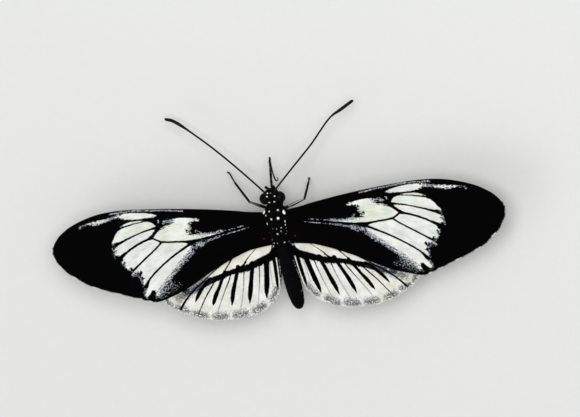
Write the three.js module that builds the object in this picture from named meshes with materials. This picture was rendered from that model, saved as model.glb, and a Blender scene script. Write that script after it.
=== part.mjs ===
// A black and white longwing butterfly at rest, wings spread flat, standing on four legs.
// Millimetres, +Z up. The head faces -Y and the animal's left side is +X.

import * as THREE from "three";

// Driving dimensions
const wingspan = 78; // across the tips of the spread forewings
const gap = 0.3; // air between neighbouring pieces
const standHeight = 6.45; // centre of the thorax above the ground
const membrane = 0.5; // thickness of a wing between its veins
const veinRise = 0.16; // height of a vein above the membrane, on each face
const veinWidth = 0.62; // width of a vein at its foot
const foreWingLevel = standHeight + 0.75;
const hindWingLevel = foreWingLevel - membrane - 2 * veinRise - gap;
const camberRise = 0.7; // how far mid-wing arches above the wing's root
const camberSpan = 45;

const LEFT = 1;
const RIGHT = -1;

const black = { color: 0x0b0a0a, roughness: 0.85, metalness: 0 };
const eyeBlack = { color: 0x140f0c, roughness: 0.25, metalness: 0 };
const wingBlack = { color: 0x100f0f, roughness: 0.8, metalness: 0 };
const wingCream = { color: 0xe9ebdc, roughness: 0.8, metalness: 0 };
const hornBrown = { color: 0x1c1512, roughness: 0.5, metalness: 0 };

// A point of the body, from its distance out to one side, ahead of the thorax and above the ground
function place(side, out, ahead, up) {
  return new THREE.Vector3(side * out, -ahead, up);
}

function camber(out) {
  return camberRise * Math.sin((Math.PI * out) / camberSpan);
}

function geometryOf(positions, triangles) {
  const geometry = new THREE.BufferGeometry();
  geometry.setAttribute("position", new THREE.Float32BufferAttribute(positions.flat(), 3));
  geometry.setIndex(triangles.flat());
  geometry.computeVertexNormals();
  return geometry;
}

// The same geometry on the other side of the body
function mirrored(geometry) {
  const copy = geometry.clone();
  const positions = copy.getAttribute("position");
  for (let i = 0; i < positions.count; i += 1) positions.setX(i, -positions.getX(i));
  const index = Array.from(copy.getIndex().array);
  for (let i = 0; i < index.length; i += 3) [index[i + 1], index[i + 2]] = [index[i + 2], index[i + 1]];
  copy.setIndex(index);
  copy.computeVertexNormals();
  return copy;
}

// Skins a row of rings, all of the same number of points, and closes both ends with a flat cap
function skinRings(rings) {
  const sides = rings[0].length;
  const positions = rings.flat().map((p) => [p.x, p.y, p.z]);
  const triangles = [];
  for (let r = 0; r + 1 < rings.length; r += 1) {
    for (let s = 0; s < sides; s += 1) {
      const a = r * sides + s;
      const b = r * sides + ((s + 1) % sides);
      triangles.push([a, b, b + sides], [a, b + sides, a + sides]);
    }
  }
  for (const [ring, first, flip] of [[rings[0], 0, true], [rings.at(-1), (rings.length - 1) * sides, false]]) {
    const middle = ring.reduce((sum, p) => sum.add(p), new THREE.Vector3()).divideScalar(sides);
    const hub = positions.push([middle.x, middle.y, middle.z]) - 1;
    for (let s = 0; s < sides; s += 1) {
      const a = first + s;
      const b = first + ((s + 1) % sides);
      triangles.push(flip ? [hub, b, a] : [hub, a, b]);
    }
  }
  return geometryOf(positions, triangles);
}

// Tubes

// Sweeps a round section along a curve. The radius follows the length run, 0 at the start to 1 at
// the end. The last ring has a flat edge facing down, so a tube that ends along the ground lies flat.
function sweep({ knots, radius, steps, sides = 8 }) {
  const curve = new THREE.CatmullRomCurve3(knots, false, "centripetal");
  const frames = [];
  let across = new THREE.Vector3(0, 0, 1);
  for (let i = steps; i >= 0; i -= 1) {
    const tangent = curve.getTangentAt(i / steps);
    across = across.clone().addScaledVector(tangent, -across.dot(tangent)).normalize();
    frames.unshift({ centre: curve.getPointAt(i / steps), up: across, tangent });
  }
  const rings = frames.map(({ centre, up, tangent }, i) => {
    const sideways = new THREE.Vector3().crossVectors(up, tangent);
    const r = radius(i / steps);
    return Array.from({ length: sides }, (_, s) => {
      const turn = ((s + 0.5) / sides) * 2 * Math.PI;
      const rim = centre.clone().addScaledVector(up, r * Math.cos(turn));
      return rim.addScaledVector(sideways, -r * Math.sin(turn));
    });
  });
  return skinRings(rings);
}

// Length taken off each of two tubes that meet at a bend, so that their ends keep the gap
function bendRelief(before, corner, after, radius) {
  const incoming = corner.clone().sub(before).normalize();
  const outgoing = after.clone().sub(corner).normalize();
  return gap / 2 + radius * Math.tan(incoming.angleTo(outgoing) / 2);
}

function shortened(knots, fromStart, fromEnd) {
  const trimmed = knots.map((p) => p.clone());
  const towardsSecond = trimmed[1].clone().sub(trimmed[0]).setLength(fromStart);
  const towardsLastButOne = trimmed.at(-2).clone().sub(trimmed.at(-1)).setLength(fromEnd);
  trimmed[0].add(towardsSecond);
  trimmed.at(-1).add(towardsLastButOne);
  return trimmed;
}

// Body

const thorax = {
  level: () => standHeight,
  knots: [
    [2.9, 0.85, 0.95],
    [2.3, 1.35, 1.5],
    [1.2, 1.75, 1.95],
    [-0.3, 1.88, 2.05],
    [-1.8, 1.75, 1.85],
    [-3.0, 1.4, 1.45],
    [-3.9, 1.0, 1.05],
  ],
};
const head = {
  level: () => standHeight - 0.15,
  knots: [
    [5.5, 0.35, 0.45],
    [5.3, 0.7, 0.9],
    [4.9, 0.92, 1.25],
    [4.3, 0.98, 1.45],
    [3.7, 0.95, 1.35],
    [thorax.knots[0][0] + gap, 0.85, 0.9],
  ],
};
const abdomen = {
  level: (ahead) => standHeight - 0.05 + 0.035 * (ahead + 4),
  knots: [
    [thorax.knots.at(-1)[0] - gap, 1.0, 1.05],
    [-5.4, 1.2, 1.2],
    [-7.6, 1.35, 1.34],
    [-10.6, 1.42, 1.4],
    [-13.2, 1.34, 1.3],
    [-15.1, 1.0, 0.96],
    [-15.9, 0.55, 0.52],
    [-16.1, 0.2, 0.2],
  ],
};
const abdomenSegments = 8;

// A body piece from rings that stand across the body. Each knot holds the ring's distance ahead,
// its half width and its half height. The waist narrows the rings between two segments.
function bodyPiece({ level, knots }, steps, sides, waist = () => 1) {
  const curve = new THREE.CatmullRomCurve3(knots.map((k) => new THREE.Vector3(...k)));
  const rings = [];
  for (let i = 0; i <= steps; i += 1) {
    const { x: ahead, y: halfWidth, z: halfHeight } = curve.getPoint(i / steps);
    const slim = waist(i / steps);
    rings.push(
      Array.from({ length: sides }, (_, s) => {
        const turn = (s / sides) * 2 * Math.PI;
        const out = -halfWidth * slim * Math.cos(turn);
        return place(LEFT, out, ahead, level(ahead) + halfHeight * slim * Math.sin(turn));
      }),
    );
  }
  return skinRings(rings);
}

// A point on the thorax and the direction it faces. The angle runs from the side towards the top.
function thoraxSkin(side, ahead, degrees) {
  const k = thorax.knots.findIndex(([knotAhead]) => knotAhead <= ahead);
  const [front, rear] = [thorax.knots[k - 1], thorax.knots[k]];
  const share = (front[0] - ahead) / (front[0] - rear[0]);
  const halfWidth = THREE.MathUtils.lerp(front[1], rear[1], share);
  const halfHeight = THREE.MathUtils.lerp(front[2], rear[2], share);
  const turn = THREE.MathUtils.degToRad(degrees);
  const point = place(side, halfWidth * Math.cos(turn), ahead, standHeight + halfHeight * Math.sin(turn));
  const facing = new THREE.Vector3(side * Math.cos(turn) / halfWidth, 0, Math.sin(turn) / halfHeight);
  return { point, facing: facing.normalize() };
}

// Head pieces

const eye = { depth: 0.95, halfLength: 1.12, halfHeight: 1.2, ahead: 4.15, up: standHeight - 0.1 };
const eyeInnerFace = Math.max(...head.knots.map((k) => k[1])) + gap;

// A bulging eye, flat where it faces the head
function eyeGeometry(side) {
  const profile = [new THREE.Vector2(0, 0)];
  const arcSteps = 8;
  for (let i = 0; i <= arcSteps; i += 1) {
    const rise = (i / arcSteps) * (Math.PI / 2);
    profile.push(new THREE.Vector2(i === arcSteps ? 0 : Math.cos(rise), Math.sin(rise)));
  }
  const dome = new THREE.LatheGeometry(profile, 20);
  dome.scale(eye.halfLength, eye.depth, eye.halfHeight);
  dome.rotateZ((-side * Math.PI) / 2);
  const seat = place(side, eyeInnerFace, eye.ahead, eye.up);
  dome.translate(seat.x, seat.y, seat.z);
  return dome;
}

// Feelers leave the front of the head, droop a little and end in a slim club
const antenna = { stalk: 0.25, club: 0.42, tip: 0.2, clubStart: 0.8 };
const antennaKnots = {
  left: [[0.62, 5.55, 6.95], [3.1, 7.7, 6.2], [6.9, 11.3, 5.3], [10.7, 14.7, 4.4], [14.8, 17.8, 3.5], [16.1, 18.2, 3.3]],
  right: [[0.62, 5.55, 6.95], [3.9, 8.3, 6.1], [8.1, 11.9, 5.1], [12.1, 15.9, 4.1], [14.0, 16.9, 3.75], [16.1, 18.0, 3.3]],
};

function antennaRadius(run) {
  const swell = THREE.MathUtils.smoothstep(run, antenna.clubStart, 0.93);
  const taper = THREE.MathUtils.smoothstep(run, 0.95, 1);
  return THREE.MathUtils.lerp(THREE.MathUtils.lerp(antenna.stalk, antenna.club, swell), antenna.tip, taper);
}

// Short upturned palps in front of the face
const palp = { base: 0.3, tip: 0.12, out: 0.42 };

function palpGeometry(side) {
  const knots = [
    place(side, palp.out, 5.45, 5.35),
    place(side, palp.out + 0.08, 6.05, 5.5),
    place(side, palp.out + 0.16, 6.35, 6.05),
    place(side, palp.out + 0.2, 6.4, 6.5),
  ];
  return sweep({ knots, radius: (run) => THREE.MathUtils.lerp(palp.base, palp.tip, run), steps: 6, sides: 8 });
}

// The tongue reaches forward and down to a knee, then folds back under the head and ends in a curl
const tongue = { root: 0.27, knee: 0.26, tip: 0.24 };
const tongueKnee = place(LEFT, 0, 9.85, 3.3);
const tongueUpper = [place(LEFT, 0, 5.55, 4.75), place(LEFT, 0, 6.6, 4.6), place(LEFT, 0, 8.1, 4.1), tongueKnee];
const tongueCurl = { centreAhead: 5.75, centreUp: 1.55, radius: 0.75, turn: 1.2 };

function tongueLower() {
  const knots = [tongueKnee, place(LEFT, 0.1, 8.3, 2.95), place(LEFT, 0.12, 7.0, 2.6)];
  const steps = 6;
  for (let i = 0; i <= steps; i += 1) {
    const turn = Math.PI / 2 + (i / steps) * tongueCurl.turn * Math.PI;
    const ahead = tongueCurl.centreAhead + tongueCurl.radius * Math.cos(turn);
    const up = tongueCurl.centreUp + tongueCurl.radius * Math.sin(turn);
    knots.push(place(LEFT, 0.12 + 0.05 * i, ahead, up));
  }
  return knots;
}

// Legs

const legRadius = { coxa: 0.42, femur: 0.34, tibia: 0.29, tarsus: 0.26 };
const footLevel = legRadius.tarsus * Math.cos(Math.PI / 8);
const legs = [
  { name: "mid_left", side: LEFT, root: [1.3, -48], knee: [4.3, 3.55, 5.7], ankle: [6.6, 5.15, 3.0], toe: [9.0, 6.85] },
  { name: "mid_right", side: RIGHT, root: [1.3, -48], knee: [4.95, 2.95, 6.0], ankle: [5.05, 3.7, 3.0], toe: [5.2, 5.6] },
  { name: "hind_left", side: LEFT, root: [-1.6, -48], knee: [4.4, -4.3, 5.1], ankle: [6.7, -7.6, 2.3], toe: [8.4, -11.2] },
  { name: "hind_right", side: RIGHT, root: [-1.6, -48], knee: [4.6, -4.1, 5.1], ankle: [6.5, -7.9, 2.3], toe: [7.9, -11.6] },
];
const footLength = 1.5; // stretch of the toe that lies flat

function legPieces({ name, side, root, knee, ankle, toe }) {
  const { point, facing } = thoraxSkin(side, ...root);
  const start = point.clone().addScaledVector(facing, gap);
  const coxaEnd = start.clone().addScaledVector(facing, 0.8);
  const kneePoint = place(side, ...knee);
  const anklePoint = place(side, ...ankle);
  const toePoint = place(side, ...toe, footLevel);
  const heading = toePoint.clone().sub(anklePoint).setZ(0).setLength(footLength);
  const ball = toePoint.clone().sub(heading);
  const kneeRelief = bendRelief(coxaEnd, kneePoint, anklePoint, legRadius.femur);
  const ankleRelief = bendRelief(kneePoint, anklePoint, ball, legRadius.tibia);
  const pieces = [
    {
      part: "femur",
      knots: shortened([start, coxaEnd, kneePoint], 0, kneeRelief),
      radii: [legRadius.coxa, legRadius.femur],
      steps: 9,
    },
    {
      part: "tibia",
      knots: shortened([kneePoint, anklePoint], kneeRelief, ankleRelief),
      radii: [legRadius.femur, legRadius.tibia],
      steps: 5,
    },
    {
      part: "tarsus",
      knots: shortened([anklePoint, ball, toePoint], ankleRelief, 0),
      radii: [legRadius.tibia, legRadius.tarsus],
      steps: 12,
    },
  ];
  return pieces.map(({ part, knots, radii, steps }) => {
    const radius = (run) => THREE.MathUtils.lerp(radii[0], radii[1], Math.min(1, run * 1.6));
    return mesh(`${part}_${name}`, sweep({ knots, radius, steps, sides: 8 }), black);
  });
}

// The forelegs are small brushes folded against the chest
function foreleg(side) {
  const { point, facing } = thoraxSkin(side, 2.0, -58);
  const start = point.clone().addScaledVector(facing, gap);
  const knots = [start, place(side, 1.25, 3.0, 4.35), place(side, 1.0, 3.9, 4.2), place(side, 0.7, 4.5, 4.05)];
  return sweep({ knots, radius: (run) => THREE.MathUtils.lerp(0.32, 0.18, run), steps: 7, sides: 8 });
}

// Wings

// Outlines and veins as [out, ahead] points, the first points of an outline at the root's front
const foreWing = {
  level: foreWingLevel,
  outline: [
    [2.15, 1.5], [5.2, 2.4], [10.5, 3.4], [15.9, 4.15], [21, 4.68], [25.5, 4.93], [29.5, 4.65], [33, 3.72], [35.7, 2.5],
    [37.6, 1.1], [38.75, -0.5], [wingspan / 2, -2], [38.6, -3.4], [36.9, -5.4], [33.5, -7.75], [29.4, -9.35],
    [25.8, -10.65], [23, -11.5], [20.6, -10.95], [17.2, -9.65], [12.3, -7.1], [9.1, -5.6], [5.6, -4.2], [2.6, -3.5],
    [2, -2.8], [2.2, -1],
  ],
  rimPoints: 96,
  veins: [
    { name: "radius", knots: [[2.9, 0.8], [9, 1.85], [15, 2.7], [20, 3.2], [25, 3.4], [31, 2.7], [36.6, 0.6]] },
    { name: "radius_branch", knots: [[20.7, 1.75], [22.2, 2.1], [24.4, 2.05], [28, 1.2], [33, -0.8], [38.1, -2.8]] },
    { name: "cubitus", knots: [[2.9, -0.1], [8.8, -1.03], [14.3, -1.76], [20, -1.49], [21.3, -0.6], [20.3, 0.9]] },
    { name: "media_1", knots: [[21.1, 0.85], [23, 0.5], [25.7, -0.32], [28.3, -1.4], [33, -3.5], [37.2, -5]] },
    { name: "media_2", knots: [[22.2, -0.9], [23.6, -1.27], [25.6, -2.28], [27.7, -3.4], [31.2, -5.5], [34.2, -7.2]] },
    { name: "media_3", knots: [[20.9, -2.15], [22.1, -3], [24.3, -4.4], [26.2, -6.1], [29.5, -9.2]] },
    { name: "cubitus_1", knots: [[15.7, -2.6], [18.8, -4.14], [22.3, -6.57], [25.1, -9.6], [25.8, -10.5]] },
    { name: "cubitus_2", knots: [[10.9, -2.1], [15, -4.1], [19.3, -6.5], [22.3, -9.4], [23.6, -11.1]] },
    { name: "anal", knots: [[2.9, -1.5], [8, -3.7], [14, -6.7], [18.8, -9.2], [21.7, -10.9]] },
  ],
};
const hindWing = {
  level: hindWingLevel,
  outline: [
    [1.95, -2.1], [4.5, -1.75], [8.5, -2.8], [13, -4.7], [18, -7.3], [21.4, -9.6], [22.4, -11.2], [21.3, -12.7],
    [19.3, -13.95], [17.2, -15], [14.9, -15.75], [12.5, -16.05], [10.1, -16.1], [7.7, -15.8], [5.4, -15.1],
    [3.6, -13.75], [2.35, -12.1], [1.85, -10], [1.77, -7.5], [1.75, -5], [1.7, -4],
  ],
  rimPoints: 66,
  veins: [
    { name: "radial_sector", knots: [[2.8, -2.7], [7, -4.1], [11.5, -6.8], [14.7, -9.2], [17.2, -11.06], [19.6, -13.4]] },
    { name: "cubitus", knots: [[2.7, -3.9], [5.2, -5.5], [7.2, -7.2], [7.7, -8.6], [8.4, -11.2], [9.6, -15.7]] },
    { name: "cell_end", knots: [[8.2, -7.7], [9.5, -8.0], [11.3, -7.7]] },
    { name: "media_1", knots: [[12.9, -8.9], [13.5, -10.3], [14.9, -12.2], [16.9, -14.8]] },
    { name: "media_2", knots: [[9.95, -8.9], [10.5, -10], [11.5, -12], [13.2, -15.6]] },
    { name: "cubitus_1", knots: [[4.75, -6], [5, -7.9], [5.5, -10.8], [6.4, -15]] },
    { name: "cubitus_2", knots: [[3.2, -4.9], [3.2, -7.5], [3.4, -10], [4.3, -13.8]] },
  ],
};
const stationStep = 1.55; // distance between a vein's cross sections
const fillStep = 2.5; // distance between points of open membrane
const rimClearance = 0.62;
const veinClearance = 0.5;
const veinEndRise = 0.5; // share of the rise that is left at a vein's ends

// Splits plane points into triangles that run anticlockwise and hold no other point in their circles
function triangulate(points) {
  const nudge = 1e-5;
  const far = 2000;
  const cloud = points.map(([x, y], i) => [x + nudge * Math.sin(7 * i), y + nudge * Math.cos(11 * i)]);
  cloud.push([-far, -far], [far, -far], [0, far]);
  const circled = (a, b, c) => {
    const [bx, by] = [cloud[b][0] - cloud[a][0], cloud[b][1] - cloud[a][1]];
    const [cx, cy] = [cloud[c][0] - cloud[a][0], cloud[c][1] - cloud[a][1]];
    const d = 2 * (bx * cy - by * cx);
    const x = (cy * (bx * bx + by * by) - by * (cx * cx + cy * cy)) / d;
    const y = (bx * (cx * cx + cy * cy) - cx * (bx * bx + by * by)) / d;
    return { corners: [a, b, c], x: cloud[a][0] + x, y: cloud[a][1] + y, reach: x * x + y * y };
  };
  const count = points.length;
  let triangles = [circled(count, count + 1, count + 2)];
  for (let i = 0; i < count; i += 1) {
    const [x, y] = cloud[i];
    const rim = new Map();
    triangles = triangles.filter((t) => {
      if ((x - t.x) ** 2 + (y - t.y) ** 2 >= t.reach) return true;
      const [a, b, c] = t.corners;
      for (const [p, q] of [[a, b], [b, c], [c, a]]) {
        if (!rim.delete(`${q} ${p}`)) rim.set(`${p} ${q}`, [p, q]);
      }
      return false;
    });
    for (const [p, q] of rim.values()) triangles.push(circled(p, q, i));
  }
  return triangles.map((t) => t.corners).filter((corners) => Math.max(...corners) < count);
}

function inside([x, y], outline) {
  let within = false;
  outline.forEach(([ax, ay], i) => {
    const [bx, by] = outline[(i + 1) % outline.length];
    if (ay > y !== by > y && x < ax + ((y - ay) / (by - ay)) * (bx - ax)) within = !within;
  });
  return within;
}

function clearOf([x, y], points, distance) {
  return points.every(([px, py]) => Math.hypot(px - x, py - y) > distance);
}

// Cross sections of one vein: a point on its crest and one at each foot
function veinSections(knots) {
  const curve = new THREE.SplineCurve(knots.map((k) => new THREE.Vector2(...k)));
  const steps = Math.max(2, Math.round(curve.getLength() / stationStep));
  return Array.from({ length: steps + 1 }, (_, i) => {
    const { x, y } = curve.getPointAt(i / steps);
    const along = curve.getTangentAt(i / steps);
    const half = (veinWidth / 2) * THREE.MathUtils.lerp(1, 0.75, i / steps);
    return [[x, y], [x - along.y * half, y + along.x * half], [x + along.y * half, y - along.x * half]];
  });
}

// A wing as one thin solid. Both faces have the same triangles, and the veins stand out of each.
function wingGeometry({ level, outline, rimPoints, veins }) {
  const rimCurve = new THREE.CatmullRomCurve3(
    outline.map(([x, y]) => new THREE.Vector3(x, y, 0)), true, "centripetal");
  const rim = rimCurve.getSpacedPoints(rimPoints).slice(0, rimPoints).map(({ x, y }) => [x, y]);
  const points = [...rim];
  const rises = new Map();
  for (const { knots } of veins) {
    const settled = points.slice(rim.length);
    const sections = veinSections(knots).filter((section) => section.every((p) =>
      inside(p, rim) && clearOf(p, rim, rimClearance) && clearOf(p, settled, veinClearance)));
    sections.forEach((section, i) => {
      const atEnd = i === 0 || i === sections.length - 1;
      rises.set(points.length, veinRise * (atEnd ? veinEndRise : 1));
      points.push(...section);
    });
  }
  const settled = [...points];
  for (let row = 0; row < 20; row += 1) {
    for (let column = 0; column < 24; column += 1) {
      const spot = [(column + (row % 2) / 2) * fillStep, 6 - row * fillStep * Math.sqrt(0.75)];
      const open = clearOf(spot, settled, 0.52 * fillStep) && clearOf(spot, points, 0.52 * fillStep);
      if (inside(spot, rim) && open) points.push(spot);
    }
  }
  const lies = ([a, b, c]) =>
    inside([0, 1].map((k) => (points[a][k] + points[b][k] + points[c][k]) / 3), rim);
  const faces = triangulate(points).filter(lies);
  const count = points.length;
  const faceAt = (lift) => points.map(([out, ahead], i) => {
    const half = membrane / 2 + (rises.get(i) ?? 0);
    return place(LEFT, out, ahead, level + camber(out) + lift * half).toArray();
  });
  const edges = new Map();
  for (const [a, b, c] of faces) {
    for (const [p, q] of [[a, b], [b, c], [c, a]]) {
      if (!edges.delete(`${q} ${p}`)) edges.set(`${p} ${q}`, [p, q]);
    }
  }
  if (edges.size !== rim.length) throw new Error(`wing rim has ${edges.size} edges, not ${rim.length}`);
  // Ahead is -Y, so a triangle that is anticlockwise in the outline's plane faces down
  const triangles = [];
  for (const [a, b, c] of faces) triangles.push([a, c, b], [count + a, count + b, count + c]);
  for (const [p, q] of edges.values()) triangles.push([p, q, count + q], [p, count + q, count + p]);
  return geometryOf([...faceAt(1), ...faceAt(-1)], triangles);
}

// Assembly

function mesh(name, geometry, finish) {
  const piece = new THREE.Mesh(geometry, new THREE.MeshStandardMaterial(finish));
  piece.name = name;
  return piece;
}

function segmentWaist(run) {
  return 1 - 0.035 * Math.abs(Math.cos(Math.PI * abdomenSegments * run)) ** 6;
}

function buildBody() {
  return [
    mesh("head", bodyPiece(head, 12, 20), black),
    mesh("thorax", bodyPiece(thorax, 16, 22), black),
    mesh("abdomen", bodyPiece(abdomen, 3 * abdomenSegments, 20, segmentWaist), black),
  ];
}

function buildHeadPieces() {
  const pieces = [];
  for (const [name, side] of [["left", LEFT], ["right", RIGHT]]) {
    const knots = antennaKnots[name].map((k) => place(side, ...k));
    pieces.push(
      mesh(`eye_${name}`, eyeGeometry(side), eyeBlack),
      mesh(`antenna_${name}`, sweep({ knots, radius: antennaRadius, steps: 40, sides: 7 }), black),
      mesh(`palp_${name}`, palpGeometry(side), black),
    );
  }
  const lower = tongueLower();
  const relief = bendRelief(tongueUpper.at(-2), tongueKnee, lower[1], tongue.knee);
  const kneeGap = Math.min(relief, 0.6);
  const taper = (from, to) => (run) => THREE.MathUtils.lerp(from, to, run);
  pieces.push(
    mesh("proboscis_upper", sweep({
      knots: shortened(tongueUpper, 0, kneeGap), radius: taper(tongue.root, tongue.knee), steps: 9,
    }), hornBrown),
    mesh("proboscis_lower", sweep({
      knots: shortened(lower, kneeGap, 0), radius: taper(tongue.knee, tongue.tip), steps: 22,
    }), hornBrown),
  );
  return pieces;
}

function buildWings() {
  const front = wingGeometry(foreWing);
  const rear = wingGeometry(hindWing);
  return [
    mesh("forewing_left", front, wingBlack),
    mesh("forewing_right", mirrored(front), wingBlack),
    mesh("hindwing_left", rear, wingCream),
    mesh("hindwing_right", mirrored(rear), wingCream),
  ];
}

function buildLegs() {
  const forelegs = [["left", LEFT], ["right", RIGHT]].map(([name, side]) =>
    mesh(`foreleg_${name}`, foreleg(side), black));
  return [...forelegs, ...legs.flatMap(legPieces)];
}

const butterfly = new THREE.Group();
butterfly.name = "butterfly";
butterfly.add(...buildBody(), ...buildHeadPieces(), ...buildWings(), ...buildLegs());

// The origin is on the ground, below the middle of the butterfly's bounding box
butterfly.updateMatrixWorld(true);
const box = new THREE.Box3().setFromObject(butterfly, true);
const middle = box.getCenter(new THREE.Vector3());
butterfly.position.set(-middle.x, -middle.y, -box.min.z);
butterfly.updateMatrixWorld(true);

export default butterfly;
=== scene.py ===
"""A black-and-white rayed longwing butterfly, life size, standing with its wings spread.

Lengths in the tables are millimetres, measured from a point on the floor under the middle of
the thorax: [out, ahead] or [out, ahead, up], out being the distance from the midline.
"""

from __future__ import annotations

import logging
import math
from dataclasses import dataclass, field
from enum import Enum
from typing import Any, Sequence

import bpy
import numpy as np
from mathutils import Matrix, Vector


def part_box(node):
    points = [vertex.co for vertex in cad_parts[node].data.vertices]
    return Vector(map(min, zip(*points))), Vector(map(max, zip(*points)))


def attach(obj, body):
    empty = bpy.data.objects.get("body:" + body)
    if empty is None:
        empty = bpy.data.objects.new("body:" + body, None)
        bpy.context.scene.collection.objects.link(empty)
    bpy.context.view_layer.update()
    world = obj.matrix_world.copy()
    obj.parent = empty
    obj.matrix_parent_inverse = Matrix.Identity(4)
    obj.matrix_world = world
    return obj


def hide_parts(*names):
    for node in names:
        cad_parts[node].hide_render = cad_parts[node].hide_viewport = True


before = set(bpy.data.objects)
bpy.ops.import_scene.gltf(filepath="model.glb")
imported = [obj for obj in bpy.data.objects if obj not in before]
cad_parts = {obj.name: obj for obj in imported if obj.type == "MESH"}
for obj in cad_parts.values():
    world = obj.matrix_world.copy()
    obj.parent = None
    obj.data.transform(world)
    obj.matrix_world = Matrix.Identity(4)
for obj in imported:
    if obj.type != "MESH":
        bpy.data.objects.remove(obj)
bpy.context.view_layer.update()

LOG = logging.getLogger("butterfly")
MM = 0.001
TINY = 1e-12
FAR = 1e9
OUTSIDE = -3.0  # depth of a point that lies in no window and no line
CURVE_STEPS = 20  # points for each stretch between two knots
BODY = "root"
THORAX_FRONT = 2.9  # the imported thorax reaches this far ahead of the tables' zero point
THORAX_TOP = 8.5  # and this high above it

Array = np.ndarray
Points = Sequence[Sequence[float]]
Colour = tuple[float, ...]


class Side(Enum):
    """The animal's two sides, as the sign of their x."""

    LEFT = 1
    RIGHT = -1

    @property
    def word(self) -> str:
        """The side's name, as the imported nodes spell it."""
        return self.name.lower()


def smooth(knots: Points, closed: bool = False, steps: int = CURVE_STEPS) -> Array:
    """Run a centripetal curve through knots.

    Args:
        knots: Points of two or three coordinates.
        closed: Whether the last knot leads back to the first.
        steps: Points made for each stretch between two knots.

    Returns:
        The curve's points, one row each.
    """
    p = np.asarray(knots, float)
    if closed:
        q = np.vstack([p[-1:], p, p[:2]])
    else:
        q = np.vstack([2 * p[0] - p[1], p, 2 * p[-1] - p[-2]])
    t = np.linspace(0, 1, steps, endpoint=False)[:, None]
    runs = []
    for i in range(len(q) - 3):
        a, b, c, d = q[i : i + 4]
        chords = (float(np.linalg.norm(chord)) for chord in (b - a, c - b, d - c))
        k0, k1, k2 = (math.sqrt(max(TINY, chord)) for chord in chords)
        m1 = ((b - a) / k0 - (c - a) / (k0 + k1) + (c - b) / k1) * k1
        m2 = ((c - b) / k1 - (d - b) / (k1 + k2) + (d - c) / k2) * k1
        bend = (3 * (c - b) - 2 * m1 - m2) * t**2 + (2 * (b - c) + m1 + m2) * t**3
        runs.append(b + m1 * t + bend)
    if not closed:
        runs.append(p[-1:])
    return np.vstack(runs)


def spaced(line: Array, shares: Array) -> Array:
    """Pick points along a line by share of its length.

    Args:
        line: The line's points.
        shares: Shares of the length, from 0 to 1.

    Returns:
        One point for each share.
    """
    steps = np.linalg.norm(np.diff(line, axis=0), axis=1)
    length = np.concatenate([[0.0], np.cumsum(steps)])
    at = np.asarray(shares) * length[-1]
    return np.stack([np.interp(at, length, line[:, k]) for k in range(line.shape[1])], axis=1)


def courses(line: Array, shares: Array, reach_by: float) -> Array:
    """Find a line's unit direction at shares of its length.

    Args:
        line: The line's points.
        shares: Shares of the length, from 0 to 1.
        reach_by: How far to either side the line is read, as a share of its length.

    Returns:
        One direction for each share.
    """
    ahead, behind = np.clip(shares + reach_by, 0, 1), np.clip(shares - reach_by, 0, 1)
    return unit(spaced(line, ahead) - spaced(line, behind))


def unit(ways: Array) -> Array:
    """The rows, each scaled to a length of one."""
    return ways / np.maximum(np.linalg.norm(ways, axis=1), TINY)[:, None]


def squared(ways: Array, along: Array) -> Array:
    """The rows, each turned square to its direction and scaled to a length of one."""
    return unit(ways - along * np.sum(ways * along, axis=1)[:, None])


def reach(points: Array, path: Array, widths: Array) -> Array:
    """Measure how deep points lie inside a stroke drawn along a path.

    Args:
        points: Points to measure, in the plane or in space.
        path: The stroke's middle line.
        widths: Half widths at the path's points, or one for all.

    Returns:
        Half width less distance, for each point: positive inside the stroke.
    """
    half = np.broadcast_to(np.asarray(widths, float), (len(path),))
    best = np.full(len(points), -FAR)
    for a, b, wa, wb in zip(path[:-1], path[1:], half[:-1], half[1:]):
        run = b - a
        t = np.clip((points - a) @ run / max(TINY, float(run @ run)), 0, 1)
        gap = np.linalg.norm(points - a - t[:, None] * run, axis=1)
        best = np.maximum(best, wa + (wb - wa) * t - gap)
    return best


def nearest(points: Array, path: Array) -> tuple[Array, Array]:
    """Find the nearest place on a path.

    Args:
        points: Points to look from.
        path: The path's points.

    Returns:
        The nearest places and the distances to them.
    """
    best = np.full(len(points), FAR)
    place = np.array(points, float)
    for a, b in zip(path[:-1], path[1:]):
        run = b - a
        t = np.clip((points - a) @ run / max(TINY, float(run @ run)), 0, 1)
        foot = a + t[:, None] * run
        gap = np.linalg.norm(points - foot, axis=1)
        near = gap < best
        best = np.where(near, gap, best)
        place[near] = foot[near]
    return place, best


def depth(points: Array, outline: Points) -> Array:
    """Measure how deep points lie inside a closed outline.

    Args:
        points: Points in the plane.
        outline: The outline's corners.

    Returns:
        Distance to the outline, positive inside and negative outside.
    """
    ring = np.asarray(outline, float)
    ring = np.vstack([ring, ring[:1]])
    gap = -reach(points, ring, 0.0)
    inside = np.zeros(len(points), bool)
    x, y = points[:, 0], points[:, 1]
    for (ax, ay), (bx, by) in zip(ring[:-1], ring[1:]):
        if ay != by:
            inside ^= ((ay > y) != (by > y)) & (x < (bx - ax) * (y - ay) / (by - ay) + ax)
    return np.where(inside, gap, -gap)


def body_origin() -> Array:
    """Find where the tables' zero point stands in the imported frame.

    Returns:
        Its x, y and z in millimetres.
    """
    low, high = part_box("thorax")
    middle = (low.x + high.x) / 2
    return np.array([middle, low.y + THORAX_FRONT * MM, high.z - THORAX_TOP * MM]) / MM


ORIGIN = body_origin()


def turned(side: Side, ways: Array) -> Array:
    """Directions of the tables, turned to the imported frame."""
    return ways * [side.value, -1, 1]


def placed(side: Side, points: Array) -> Array:
    """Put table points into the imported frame.

    Args:
        side: The side that the tables' out leads to.
        points: Rows of out, ahead, up in millimetres.

    Returns:
        Rows of x, y, z in metres.
    """
    return (turned(side, points) + ORIGIN) * MM


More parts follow.
